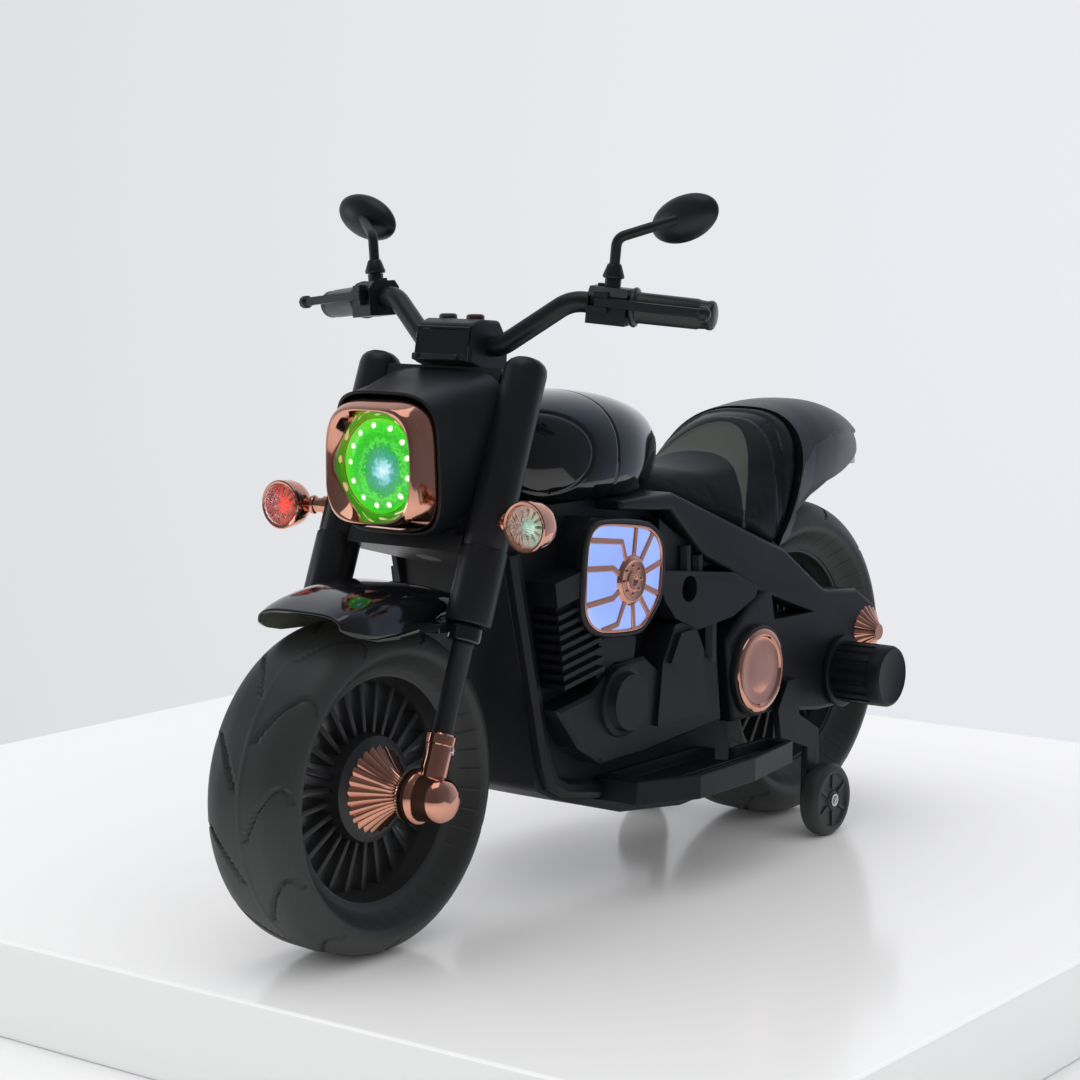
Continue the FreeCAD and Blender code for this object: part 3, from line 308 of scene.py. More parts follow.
def saddleSkin():
    # Grained seat cover; its ramp and glossy strip follow the piece's own attributes
    material, tree, shader = startMaterial("saddleCover")
    spots = surface(tree)
    cells = add(tree, "TexVoronoi")
    feedAll(cells, {"Vector": spots, "Scale": 520.0})
    patches = remap(tree, noise(tree, spots, 9.0, 4.0), 0.3, 0.7)
    dark = mixColour(tree, patches, (0.0042, 0.005, 0.0066), (0.006, 0.007, 0.0088))
    light = mixColour(tree, patches, (0.05, 0.053, 0.047), (0.066, 0.069, 0.062))
    gloss = sums(tree, "MULTIPLY", bandMask(tree, "strip"), 0.28)
    rough = sums(tree, "SUBTRACT", remap(tree, patches, 0.0, 1.0, 0.44, 0.56), gloss)
    feedAll(shader, {"Base Color": mixColour(tree, bandMask(tree, "ramp"), dark, light), "Roughness": rough,
                     "Specular IOR Level": 0.22})
    bumped(tree, shader, cells.outputs["Distance"], 0.1, 0.0006)
    return material


saddleCover = saddleSkin()
print("materials ready:", len(bpy.data.materials))


# Making pieces

def place(bm, name, materials, covers, smooth=35.0, body=None, slot=None, outward=True):
    bmesh.ops.remove_doubles(bm, verts=bm.verts, dist=2e-5)
    if outward:
        bmesh.ops.recalc_face_normals(bm, faces=bm.faces)
    mesh = bpy.data.meshes.new(name)
    bm.to_mesh(mesh)
    bm.free()
    piece = bpy.data.objects.new(name, mesh)
    scene.collection.objects.link(piece)
    for material in materials if isinstance(materials, list) else [materials]:
        mesh.materials.append(material)
    mesh.shade_smooth()
    mesh.set_sharp_from_angle(angle=radians(smooth))
    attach(piece, body or bodyOf[covers[0]])
    if covers:
        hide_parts(*covers)
    slot or slotOf[covers[0]]
    return piece


def soften(piece, width, segments=2, angle=30.0):
    bevel = piece.modifiers.new("rounded edges", "BEVEL")
    bevel.width = width * mm
    bevel.segments = segments
    bevel.limit_method = "ANGLE"
    bevel.angle_limit = radians(angle)


def thicken(piece, wall, even=True):
    shell = piece.modifiers.new("wall", "SOLIDIFY")
    shell.thickness = wall * mm
    shell.offset = -1.0
    shell.use_even_offset = even
    return shell


def lathe(bm, profile, centre, axis, steps=64, closed=False):
    # Turns (along, radius) points in millimetres round an axis
    side = axis.orthogonal().normalized()
    points = [bm.verts.new(centre + (axis * a + side * r) * mm) for a, r in profile]
    edges = [bm.edges.new(pair) for pair in zip(points, points[1:])]
    if closed:
        edges.append(bm.edges.new((points[-1], points[0])))
    before = set(bm.verts) - set(points)
    bmesh.ops.spin(bm, geom=points + edges, cent=centre, axis=axis, angle=2 * pi, steps=steps, use_merge=True)
    return [v for v in bm.verts if v not in before]


def loft(bm, rings, closeEnds=True):
    # Skin through matching closed rings of points, each ring extruded from the one before
    circle = bmesh.ops.create_circle(bm, segments=len(rings[0]), radius=1.0)["verts"]
    verts = sorted(circle, key=lambda v: atan2(v.co.y, v.co.x))
    for vert, point in zip(verts, rings[0]):
        vert.co = point
    ends = [[bm.edges.get((verts[i - 1], verts[i])) for i in range(len(verts))]]
    loop = ends[0]
    for points in rings[1:]:
        grown = set(bmesh.ops.extrude_edge_only(bm, edges=loop)["geom"])
        verts = [next(e.other_vert(v) for e in v.link_edges if e.other_vert(v) in grown) for v in verts]
        for vert, point in zip(verts, points):
            vert.co = point
        loop = [bm.edges.get((verts[i - 1], verts[i])) for i in range(len(verts))]
    if closeEnds:
        for end in ends + [loop]:
            bmesh.ops.edgeloop_fill(bm, edges=end)


def sheet(bm, across, along, where):
    # A grid whose points are moved to where(u, v)
    for vert in bmesh.ops.create_grid(bm, x_segments=across, y_segments=along, size=1.0)["verts"]:
        vert.co = where((vert.co.x + 1) / 2, (vert.co.y + 1) / 2)


def block(bm, middle, size, where=at):
    for vert in bmesh.ops.create_cube(bm, size=1.0)["verts"]:
        vert.co = where(*(m + v * s for m, v, s in zip(middle, vert.co, size)))


def bow(value, power):
    # Turns a sine or cosine of a circle into that of a rounded square
    return copysign(abs(value) ** (2 / power), value)


def ovalPoints(y, half, low, high, power, count=64):
    middle, tall = (low + high) / 2, (high - low) / 2
    turns = [2 * pi * i / count for i in range(count)]
    return [at(half * bow(cos(t), power), y, middle + tall * bow(sin(t), power)) for t in turns]


def between(rows, count):
    # Smooth in-between rows of numbers through the given rows
    out = []
    for i in range(count):
        t = i * (len(rows) - 1) / (count - 1)
        k = min(int(t), len(rows) - 2)
        f = t - k
        near = [rows[max(k - 1, 0)], rows[k], rows[k + 1], rows[min(k + 2, len(rows) - 1)]]
        out.append([0.5 * (2 * b + (c - a) * f + (2 * a - 5 * b + 4 * c - d) * f * f + (3 * b - a - 3 * c + d) * f ** 3)
                    for a, b, c, d in zip(*near)])
    return out


def lineAt(points, t):
    # Height of a broken line at t
    for (t0, v0), (t1, v1) in zip(points, points[1:]):
        if t <= t1:
            return v0 + (v1 - v0) * max(0.0, (t - t0) / (t1 - t0))
    return points[-1][1]


def rowAt(table, y):
    # Numbers of a table at y, read between its two nearest rows
    k = min(len(table) - 1, max(1, bisect.bisect_left(table, y, key=lambda row: row[0])))
    low, high = table[k - 1], table[k]
    f = min(1.0, max(0.0, (y - low[0]) / (high[0] - low[0])))
    return [a + (b - a) * f for a, b in zip(low, high)][1:]


def bothSides(bm):
    bmesh.ops.mirror(bm, geom=bm.verts[:] + bm.edges[:] + bm.faces[:], axis="X", merge_dist=-1.0)


def turnedPair(name, material, covers, profile, centre, axis, steps, closed=False, **kept):
    bm = bmesh.new()
    lathe(bm, profile, centre, axis, steps, closed)
    bothSides(bm)
    place(bm, name, material, covers, **kept)


def flipped(bm):
    copy = bm.copy()
    bmesh.ops.scale(copy, vec=(-1, 1, 1), verts=copy.verts)
    return copy


def repeat(bm, verts, centre, axis, count):
    # Copies the faces at some points round an axis
    geom = verts + list({e for v in verts for e in v.link_edges}) + list({f for v in verts for f in v.link_faces})
    bmesh.ops.spin(bm, geom=geom, cent=centre, axis=axis, angle=2 * pi * (count - 1) / count, steps=count - 1,
                   use_duplicate=True)


def curveMesh(points, radius=0.0, sides=0, steps=10, closed=False):
    # Smooth curve through guide points, as a bent rod or a bare closed line
    curve = bpy.data.curves.new("guide", "CURVE")
    curve.dimensions = "3D"
    curve.bevel_depth = radius * mm
    curve.bevel_resolution = sides
    curve.use_fill_caps = not closed
    spline = curve.splines.new("NURBS")
    spline.points.add(len(points) - 1)
    for knot, point in zip(spline.points, points):
        knot.co = (*point, 1.0)
    spline.order_u = 3
    spline.use_cyclic_u = closed
    spline.use_endpoint_u = not closed
    spline.resolution_u = steps
    guide = bpy.data.objects.new("guide", curve)
    scene.collection.objects.link(guide)
    bpy.context.view_layer.update()
    mesh = bpy.data.meshes.new_from_object(guide.evaluated_get(bpy.context.evaluated_depsgraph_get()))
    bpy.data.objects.remove(guide)
    return mesh


def corner(before, bend, after, reach):
    # Three guide points that round one corner
    return [bend + (before - bend).normalized() * reach * mm, bend, bend + (after - bend).normalized() * reach * mm]


def dress(node, material, width, segments=2):
    # A merged copy of the solid with rounded edges
    bm = bmesh.new()
    bm.from_mesh(nodes[node].data)
    bmesh.ops.remove_doubles(bm, verts=bm.verts, dist=2e-5)
    bmesh.ops.dissolve_limit(bm, angle_limit=radians(1.0), verts=bm.verts, edges=bm.edges)
    soften(place(bm, node + "_dressed", material, [node], smooth=30.0, outward=False), width, segments, 28.0)


def keep(node, material):
    nodes[node].data.materials.clear()
    nodes[node].data.materials.append(material)


def screw(bm, centre, axis, radius):
    # Round head with a small recess
    lathe(bm, [(-1.0, radius), (0.6, radius), (1.3, radius * 0.7), (1.5, 0.9), (0.5, 0.7), (0.5, 0)], centre, axis, 20)


# Wheels

tyreLook = {"steps": 640, "hooks": 11, "depth": 2.4, "halfLine": 1.2}


def tyrePoints(radius, halfWidth, wall):
    half = [(0, 139.4), (14, 139.2), (26, 138.2), (36, 134.8), (43, 129.6), (47.2, 123), (47.8, 118.5), (45.4, 114.5),
            (40, 110.6), (34, 106.4), (29.5, 102), (27, 97.1)]
    points = between([(x * halfWidth / 48, radius - (140 - r) * wall / 43) for x, r in half], 56)
    return points[::-1] + [(-x, r) for x, r in points[1:]]


def cutHooks(verts, centre, radius, halfWidth):
    # Shallow hooked grooves in the tread and ticks on the sidewall slope
    look = tyreLook
    pitch = 2 * pi * radius / look["hooks"]
    hook = [(0, 6), (26, 20), (44, 33), (47, 38), (44, 42.5), (36, 45)]
    for vert in verts:
        local = (vert.co - centre) / mm
        out = hypot(local.y, local.z)
        x = local.x * 48 / halfWidth
        turn = atan2(local.y, local.z)
        lift = 0.0
        if out > radius - 19 and abs(x) < 47:
            u = (turn * radius + (0 if x > 0 else pitch / 2)) % pitch
            near = 9.0
            for (u0, w0), (u1, w1) in zip(hook, hook[1:]):
                du, dw = u1 - u0, w1 - w0
                for shift in (0, pitch, -pitch):
                    pu, pw = u + shift - u0, abs(x) - w0
                    f = min(1.0, max(0.0, (pu * du + pw * dw) / (du * du + dw * dw)))
                    near = min(near, hypot(pu - du * f, pw - dw * f))
            lift = -look["depth"] * max(0.0, 1 - max(0.0, near - look["halfLine"]) / 0.7)
            if abs(x) < 1.0:
                lift += 0.5 * (1 - abs(x))
        elif out < radius - 24 and abs(x) > 30:
            tick = (turn * 40 / (2 * pi)) % 1.0
            if min(tick, 1 - tick) < 0.05:
                lift = -0.7
        if lift:
            vert.co += Vector((0, local.y, local.z)).normalized() * lift * mm


def tyre(node, centre, radius, halfWidth, wall):
    bm = bmesh.new()
    lathe(bm, tyrePoints(radius, halfWidth, wall), centre, axisX, tyreLook["steps"], closed=True)
    bmesh.ops.remove_doubles(bm, verts=bm.verts, dist=2e-5)
    cutHooks(bm.verts, centre, radius, halfWidth)
    place(bm, node + "_moulding", tyreBlack, [node], smooth=50.0)


rimLook = {"spokes": 26, "width": 4.4, "hub": 46.0}


def rim(node, centre, seat):
    look = rimLook
    hub = look["hub"]
    low, high = hub - 2, seat - 7

    def atSpoke(vert):
        # True for the first spoke and the patch of the band that it meets
        x, y, z = (vert.co - centre) / mm
        return abs(x) < 14 and abs(y) < 4 and low - 1 < z < high + 0.5

    bm = bmesh.new()
    band = [(27, seat), (26, seat - 2.5), (20, seat - 4.5), (13, seat - 7.5), (10.5, seat - 9)]
    lathe(bm, band + [(-x, r) for x, r in reversed(band)], centre, axisX, 120, closed=True)
    face = [(25, 0), (25, 38), (24, 40), (22, 44.5), (17, hub)]
    lathe(bm, [(-x, r) for x, r in face] + face[::-1], centre, axisX, 96)
    spoke = bmesh.ops.create_cube(bm, size=1.0)["verts"]
    for vert in spoke:
        far = vert.co.z > 0
        across, along = (19, look["width"] + 1.6) if far else (27, look["width"])
        vert.co = centre + Vector((vert.co.x * across, vert.co.y * along, high if far else low)) * mm
    bmesh.ops.bevel(bm, geom=list({e for v in spoke for e in v.link_edges}), offset=0.9 * mm, offset_type="OFFSET",
                    affect="EDGES", segments=2, profile=0.5, material=-1)
    repeat(bm, [vert for vert in bm.verts if atSpoke(vert)], centre, axisX, look["spokes"])
    place(bm, node + "_moulding", rimBlack, [node], smooth=32.0)


def roundPoints(centre, x, count, radiusAt):
    # Ring across the bike whose radius changes with the angle
    turns = [2 * pi * k / count for k in range(count)]
    return [centre + Vector((x, radiusAt(t) * sin(t), radiusAt(t) * cos(t))) * mm for t in turns]


def flutedCone(bm, centre, start, base, tip, length, flutes, side, steps=14):
    # Trumpet with pleats that run down its slope and a scalloped edge
    rings = []
    for i in range(steps + 1):
        f = i / steps
        radius = tip + (base - tip) * (1 - f) ** 1.35
        deep = 0.085 * (1 - 0.35 * f)
        rings.append(roundPoints(centre, side * (start + length * f), flutes * 8,
                                 lambda t: radius * (1 - deep * (1 - abs(sin(t * flutes / 2))))))
    loft(bm, rings)


frontHub, rearHub = at(0, 0, frontRadius), at(0, 648, rearRadius)
tyre("front_tyre", frontHub, frontRadius, 48, 43)
tyre("rear_tyre", rearHub, rearRadius, 50, 52)
rim("front_rim", frontHub, 97)
rim("rear_rim", rearHub, 110)
bm = bmesh.new()
for side in (1, -1):
    flutedCone(bm, frontHub, 25.2, 37, 12, 29.8, 24, side)
place(bm, "front_hub_cone_pair", copper, ["front_hub_cones"], smooth=28.0)
keep("drive_dog", frameBlack)
for node in ("front_axle", "rear_axle", "steering_stem"):
    keep(node, steel)
print("wheels made")

# Fork and front end

clampLook = {"barrel": 23.0, "sleeve": 12.0}


def axleClamps():
    r, w = clampLook["barrel"], clampLook["sleeve"]
    foot = forkAt(legHalf, 0)
    bm = bmesh.new()
    lathe(bm, [(62, 0), (62, r - 2), (63, r - 0.5), (65, r), (73, r), (75, r - 1), (76.5, r - 3), (78.5, r - 3.6),
               (92, r - 3.8), (98, r - 5), (102, r - 8), (104.6, r - 12), (105.7, r - 17), (106, 0)], frontHub, axisX)
    lathe(bm, [(4, 0), (4, w - 0.8), (44, w - 0.4), (45, w + 0.4), (52.5, w + 0.4), (54, w - 0.8), (54, 0)],
          foot, forkUp, 48)
    bothSides(bm)
    place(bm, "axle_clamp_pair", copper, ["axle_clamps"], smooth=30.0)
    turnedPair("axle_neck_pair", bronze, [],
               [(55.4, 0), (55.4, 11), (56, 12.4), (58.5, 12.8), (59.5, 14.6), (61.5, 15.2), (62.4, 14), (62.4, 0)],
               frontHub, axisX, 48, body="steering", slot="copper", smooth=30.0)
    bm = bmesh.new()
    out = Vector((0.86, 0.5, 0)).normalized()
    screw(bm, foot + (forkUp * 40 + out * 11.6) * mm, out, 4.0)
    bothSides(bm)
    place(bm, "clamp_screws", chrome, [], body="steering", slot="steel")


def forkLegs():
    turnedPair("fork_tube_pair", satinBlack, ["fork_tubes"],
               [(24, 0), (24, 9), (128, 9), (129, 9.6), (131, 9.6), (132, 9), (352, 9), (352, 0)],
               forkAt(legHalf, 0), forkUp, 48)
    for side, node in ((1, "fork_cover_left"), (-1, "fork_cover_right")):
        bm = bmesh.new()
        lathe(bm, [(147, 0), (147, 18.4), (148, 19.4), (149.5, 19.7), (209.5, 19.7), (211, 19.3), (211.6, 18.3),
                   (212.4, 18.3), (213.4, 18.7), (366, 18.6), (371, 17.6), (374.6, 15), (377.2, 11), (378.6, 6),
                   (379, 0)], forkAt(legHalf * side, 0), forkUp)
        place(bm, node + "_moulding", satinBlack, [node], smooth=26.0)
    dress("fork_bridges", satinBlack, 1.6, 3)


fenderLook = {"front": -66, "length": 158, "half": 54.6, "wall": 2.6, "crown": (11, 116, 195),
              "edge": [(-66, 283), (-60, 279.5), (-48, 275), (-30, 271), (-4, 269.6), (22, 270.4), (38, 275), (50, 281),
                       (92, 284)]}


def fenderSheet():
    # Crowned skin with side lobes, its underside paler
    look = fenderLook
    crownY, crownZ, crownRadius = look["crown"]

    def where(u, v):
        y = look["front"] + look["length"] * u
        top = crownZ + sqrt(crownRadius ** 2 - (y - crownY) ** 2)
        low = min(lineAt(look["edge"], y), top - 4)
        c, s = cos(pi * v), sin(pi * v)
        half = look["half"] - 10 * max(0.0, (-38 - y) / 28) ** 2
        return at(half * copysign(abs(c) ** 0.56, c), y, low + (top - low) * abs(s) ** 0.62)

    bm = bmesh.new()
    sheet(bm, 72, 56, where)
    skin = place(bm, "front_fender_skin", [glossBlack, underGrey], ["front_fender"], smooth=45.0)
    thicken(skin, look["wall"]).material_offset = 1


def fenderStays():
    bm = bmesh.new()
    lathe(bm, [(131.6, 9.1), (131.6, 13), (132.6, 14), (144.4, 14), (145.6, 13), (145.6, 9.1)], forkAt(legHalf, 0),
          forkUp, 40, closed=True)
    block(bm, (62.5, 36, 276), (22, 24, 8))
    bothSides(bm)
    soften(place(bm, "fender_stays", glossBlack, [], body="steering", slot="gloss_black"), 1.2)


axleClamps()
forkLegs()
fenderSheet()
fenderStays()
print("fork made")

# Headlight

lampLook = {"dots": 13, "dotRadius": 2.5, "lens": (38.0, 40.0)}


nacelleLook = {"sideShare": 0.9, "wallShare": 0.1, "drawIn": 0.8, "power": 4.2, "readAt": 60, "ahead": 7}


def nacelleEdge(z):
    return lineAt([(340, 50), (440, 45), (452, 43.5), (460, 41.5), (468, 39.5), (500, 39.5)], z)


def forkFace(z):
    ahead = nacelleLook["ahead"]
    s = (z - frontRadius - ahead * sin(rake)) / cos(rake)
    return s * sin(rake) - ahead * cos(rake)


nacelleTable = between([(18, 52.5, 349, 466), (44, 56, 347, 468), (69, 60, 346, 472), (92, 67, 346, 477),
                        (121, 77, 345, 483), (150, 82, 345, 488)], 60)


def nacelleSheet():
    # Housing from the lamp opening back to the fork, with its rear wall drawn in round the stem
    look = nacelleLook

    def where(u, v):
        drawn = max(0.0, u - look["sideShare"]) / look["wallShare"]
        shrink = 1 - look["drawIn"] * drawn
        u = min(1.0, u / look["sideShare"])
        t = 2 * pi * v
        side, rise = bow(cos(t), look["power"]), bow(sin(t), look["power"])
        low, high = rowAt(nacelleTable, look["readAt"])[1:]
        z = (low + high) / 2 + (high - low) / 2 * rise
        y = nacelleEdge(z) + (forkFace(z) - nacelleEdge(z)) * u
        half, low, high = rowAt(nacelleTable, y)
        z = (low + high) / 2 + (high - low) / 2 * rise * shrink
        if drawn:
            y = forkFace(z)
        return at(half * side * shrink, y, z)

    bm = bmesh.new()
    sheet(bm, 50, 160, where)
    thicken(place(bm, "headlight_nacelle_moulding", satinBlack, ["headlight_nacelle"], smooth=40.0), 2.8)


def bezel():
    # Plated surround whose dish carries a painted glow, standing for the lamp's light reflected beside the lens
    count, plain = 96, 10
    rings = [(60, 54, 350, 466.2, 4.2), (52, 53.6, 350.1, 465, 4.2), (44, 52.7, 350.3, 463.7, 4.2),
             (30, 49.8, 354, 458.4, 4.0), (24, 48, 356, 456, 3.8), (22, 47, 357.2, 454.8, 3.6),
             (21, 45.6, 358.4, 453.4, 3.4), (21.4, 44.6, 359.2, 452.4, 3.1), (24, 43.2, 360.6, 450.6, 2.8),
             (29, 41.2, 362.8, 448.2, 2.4), (36, 38.8, 365, 446, 2.1), (41, 38.4, 365.3, 445.7, 2.0)]
    bm = bmesh.new()
    loft(bm, [ovalPoints(*row, count) for row in rings], closeEnds=False)
    bm.faces.ensure_lookup_table()
    for face in bm.faces[plain * count:]:
        face.material_index = 1
    thicken(place(bm, "headlight_bezel_plated", [copper, dishPaintedGlow], ["headlight_bezel"], smooth=32.0), 1.6)


def ring(y, half, tall, z=0.0, count=64):
    return ovalPoints(y, half, z - tall, z + tall, 2.0, count)


def domeRings(y, z, half, tall, depth, shares):
    return [ring(y - depth * share, half * sqrt(1 - share * share), tall * sqrt(1 - share * share), z)
            for share in shares]


def headLens():
    shares = (0, 0.2, 0.4, 0.58, 0.74, 0.87, 0.95, 0.99, 0.9995)
    bm = bmesh.new()
    for wall, y, depth in ((1.3, 37.2, 6.6), (0.0, 36, 7.0)):
        half, tall = (size - wall for size in lampLook["lens"])
        rings = domeRings(y, lampHeight, half, tall, depth, shares)
        loft(bm, [ring(40.8, half, tall, lampHeight)] + rings, closeEnds=False)
    place(bm, "headlight_lens_moulding", clearLens, ["headlight_lens"], smooth=40.0, outward=False)


def headBoard():
    # Lit plate with a ring of bright dots round a ribbed middle bowl
    look = lampLook
    half, tall = (size - 0.6 for size in look["lens"])
    steps = [(45.8, 0.95), (40.2, 0.955), (38.6, 0.95), (37.8, 0.9), (37.6, 0.74), (35.8, 0.71), (35.4, 0.64),
             (36.6, 0.60), (38.6, 0.55), (39.6, 0.3), (40.2, 0.02)]
    rings = []
    for y, share in steps:
        points = ring(y, half * share, tall * share, lampHeight, 96)
        if share < 0.58:
            points = [p - axisY * (1.1 * mm if (i // 3) % 2 else 0) for i, p in enumerate(points)]
        rings.append(points)
    bm = bmesh.new()
    loft(bm, rings)
    for face in bm.faces:
        if face.calc_center_median().y > at(0, 41.5, 0).y:
            face.material_index = 2
    for i in range(look["dots"]):
        t = 2 * pi * (i + 0.5 + 0.12 * sin(5.0 * i)) / look["dots"]
        reach = 0.82 + 0.03 * sin(7.0 * i)
        middle = at(half * reach * cos(t), 37.8, lampHeight + tall * reach * sin(t))
        before, r = len(bm.faces), look["dotRadius"]
        lathe(bm, [(-0.3, r), (1.0, r * 0.85), (1.9, r * 0.5), (2.2, 0)], middle, -axisY, 12)
        bm.faces.ensure_lookup_table()
        for face in bm.faces[before:]:
            face.material_index = 1
    place(bm, "headlight_board", [greenGlow, dotGlow, satinBlack], ["headlight_reflector"], smooth=25.0)


signalLook = {"place": (134, 72, 361.5), "radius": 21.5, "ribs": 12}


def fluted(verts, centre, ribs, deep, low=0.0, high=1000.0):
    # Pushes points along the bike in waves that run out from a centre
    for vert in verts:
        out = (vert.co - centre) / mm
        if low < hypot(out.x, out.z) < high:
            vert.co.y += deep * mm * cos(atan2(out.z, out.x) * ribs)


def signals():
    x, y, z = signalLook["place"]
    r = signalLook["radius"]
    centre, root = at(x, y, z), forkAt(legHalf, (z - frontRadius) / cos(rake))
    reach = (root - centre).length / mm
    bm = bmesh.new()
    lathe(bm, [(-13, r - 3), (-13.4, r - 1), (-12.6, r), (-9, r), (-8, r - 0.6), (0, r - 0.8), (6, r - 2.5),
               (12, r - 6.5), (17, r - 11.5), (20, r - 17), (20.4, 0), (-7, 0), (-7, r - 3)],
          centre, axisY, closed=True)
    lathe(bm, [(16, 0), (16, 5.6), (20, 6.2), (22, 8), (24, 8.4), (25.5, 8), (26.5, 6.4), (reach - 22.5, 6.4),
               (reach - 21.5, 8), (reach - 16, 8), (reach - 16, 0)], centre, (root - centre).normalized(), 40)
    bothSides(bm)
    place(bm, "signal_housing_pair", copper, ["signal_housings"], smooth=28.0)
    # The left dish carries painted glints; the right dish glows red
    for side, material, name in ((1, paleSignalPaintedGlints, "signal_dish_left"), (-1, redGlow, "signal_dish_right")):
        bm = bmesh.new()
        spot = at(x * side, y, z)
        dish = lathe(bm, [(-7.6, r - 3.6), (-7.2, 9), (-7.6, 5), (-11, 3.4), (-13, 0)], spot, axisY, 36)
        fluted(dish, spot, signalLook["ribs"], 0.9, -1.0)
        place(bm, name, material, [], body="steering", slot="clear", smooth=15.0)
    bm = bmesh.new()
    q = r - 2.8
    lens = lathe(bm, [(-9, q), (-13, q), (-14.6, q * 0.93), (-16.4, q * 0.76), (-17.5, q * 0.5), (-18, q * 0.2),
                      (-18, 0)], centre, axisY, 60)
    fluted(lens, centre, 20, 0.35, 3, q - 1)
    bothSides(bm)
    thicken(place(bm, "signal_lens_pair", clearLens, ["signal_lenses"], smooth=40.0), 1.2)


nacelleSheet()
bezel()
headLens()
headBoard()
signals()
print("lamps made")

# Handlebar and controls

barLook = {"radius": 9.0, "bend": 24.0}


def handlebar():
    clamp = at(40, 150, 501)
    left = [clamp + axisX * -36 * mm] + corner(clamp - axisX * mm * 40, clamp, barKnee, 16)
    left += corner(clamp, barKnee, barTip, barLook["bend"]) + [barTip]
    right = [Vector((-p.x, p.y, p.z)) for p in reversed(left)]
    bm = bmesh.new()
    bm.from_mesh(curveMesh(right + left, barLook["radius"], 10))
    place(bm, "handlebar_tube", satinBlack, ["handlebar"], smooth=40.0)


def grips():
    turnedPair("grip_pair", gripBlack, ["grips"],
               [(54, 0), (54, 15.5), (54.8, 16.8), (56.6, 17), (58, 16), (58.8, 13.8), (61, 13.2), (110.5, 12.9),
                (112, 12.2), (118, 11.8), (120, 12.4), (122.6, 12.5), (124.6, 11.2), (126, 8), (126, 0)],
               barKnee, barDir, 48, smooth=30.0)


def switchTrim():
    bm = bmesh.new()
    for middle, size in (((28, -13.6, 9), (9, 4, 5)), ((44, -13.8, -8), (7, 4, 4)), ((27, 2, 16), (10, 6, 3))):
        block(bm, middle, size, barAt)
    bothSides(bm)
    soften(place(bm, "switch_toggles", greyButton, [], body="steering", slot="button_grey"), 0.8)


mirrorLook = {"head": (176, 228, 610), "tilt": -18.0, "half": 34.0, "tall": 19.6, "depth": 11.8}


def tiltedHead(rings):
    bm = bmesh.new()
    loft(bm, rings)
    turn = Matrix.Rotation(radians(mirrorLook["tilt"]), 3, "Y")
    for vert in bm.verts:
        vert.co = at(*mirrorLook["head"]) + turn @ (vert.co - at(0, 0, 0))
    return bm


def mirrorPiece(word):
    look = mirrorLook
    shares = (0, 0.18, 0.36, 0.54, 0.7, 0.83, 0.92, 0.975, 0.998)
    edge = [ring(1.0, 30.8, 16.6), ring(3.2, 30.8, 16.6), ring(3.2, 33, 18.8), ring(2.2, 33.8, 19.4)]
    bm = tiltedHead(edge + domeRings(0, 0, look["half"], look["tall"], look["depth"], shares))
    glass = tiltedHead([ring(1.2, 30.6, 16.4), ring(2.6, 30.6, 16.4), ring(2.9, 29.8, 15.6)])
    foot = barAt(35, 0, 22.3)
    elbow = foot + barUp * 34 * mm
    tip = at(*look["head"]) - axisY * 7 * mm
    bm.from_mesh(curveMesh([foot] + corner(foot, elbow, tip, 15) + [tip], 4.5, 8))
    lathe(bm, [(0.2, 0), (0.2, 8.6), (1, 9.2), (2.4, 9.2), (11.6, 6), (12.4, 5.2), (12.6, 4.4)], foot, barUp, 32)
    if word == "right":
        bm, glass = flipped(bm), flipped(glass)
    place(bm, "mirror_housing_" + word, satinBlack, ["mirror_" + word], smooth=40.0)
    place(glass, "mirror_pane_" + word, silverGlass, ["mirror_glass_" + word], smooth=30.0)


def slab(bm, corners, half):
    # Side outline pushed out to both sides of the middle
    loft(bm, [[at(x, y, z) for y, z in corners] for x in (-half, half)])


def dashBox():
    bm = bmesh.new()
    slab(bm, [(117.4, 488), (124, 520.6), (136, 524.6), (162, 522.6), (173.6, 505), (171.8, 466.8)], 30.6)
    soften(place(bm, "dash_moulding", satinBlack, ["dash_box"], smooth=30.0), 3.0, 3)
    up, out = Vector((0, 0.198, 0.980)), Vector((0, -0.980, 0.198))
    foot = at(0, 117.4, 488)
    bm = bmesh.new()
    rings = []
    for inset, lift in ((0, -1.0), (0, 1.2), (0.6, 1.8), (2.2, 1.8), (2.8, 0.9)):
        half, low, high = 29 - inset, 2 + inset, 31 - inset
        corners = [(-half, low), (half, low), (half, high), (-half, high)]
        rings.append([foot + (axisX * x + up * s + out * lift) * mm for x, s in corners])
    loft(bm, rings)
    place(bm, "dash_plate", glossBlack, [], body="steering", slot="gloss_black", smooth=20.0)
    bm = bmesh.new()
    slab(bm, [(112.4, 490), (113.2, 496), (121.5, 493), (121.5, 487)], 28.6)
    soften(place(bm, "dash_lip", satinBlack, [], body="steering", slot="satin_black", smooth=30.0), 1.2)
    bm = bmesh.new()
    for x in (-22, 22):
        screw(bm, at(x, 113, 493.6), -axisY, 2.6)
    place(bm, "dash_screws", satinBlack, [], body="steering", slot="satin_black", smooth=30.0)


def buttons():
    for side, node, material in ((1, "start_button", redButton), (-1, "horn_button", greyButton)):
        bm = bmesh.new()
        lathe(bm, [(2.1, 0), (2.1, 7.9), (7.4, 7.9), (8.6, 7.2), (9.3, 5.8), (9.0, 4.2), (8.6, 0)],
              at(15 * side, 147, 519), axisZ, 40)
        place(bm, node + "_cap", material, [node], smooth=30.0)


handlebar()
grips()
switchTrim()
mirrorPiece("left")
mirrorPiece("right")
buttons()
dashBox()
dress("switch_boxes", satinBlack, 1.2)
dress("lever_left", satinBlack, 1.6, 3)
dress("lever_right", satinBlack, 1.6, 3)
print("controls made")

# Body, tank, tail and saddle

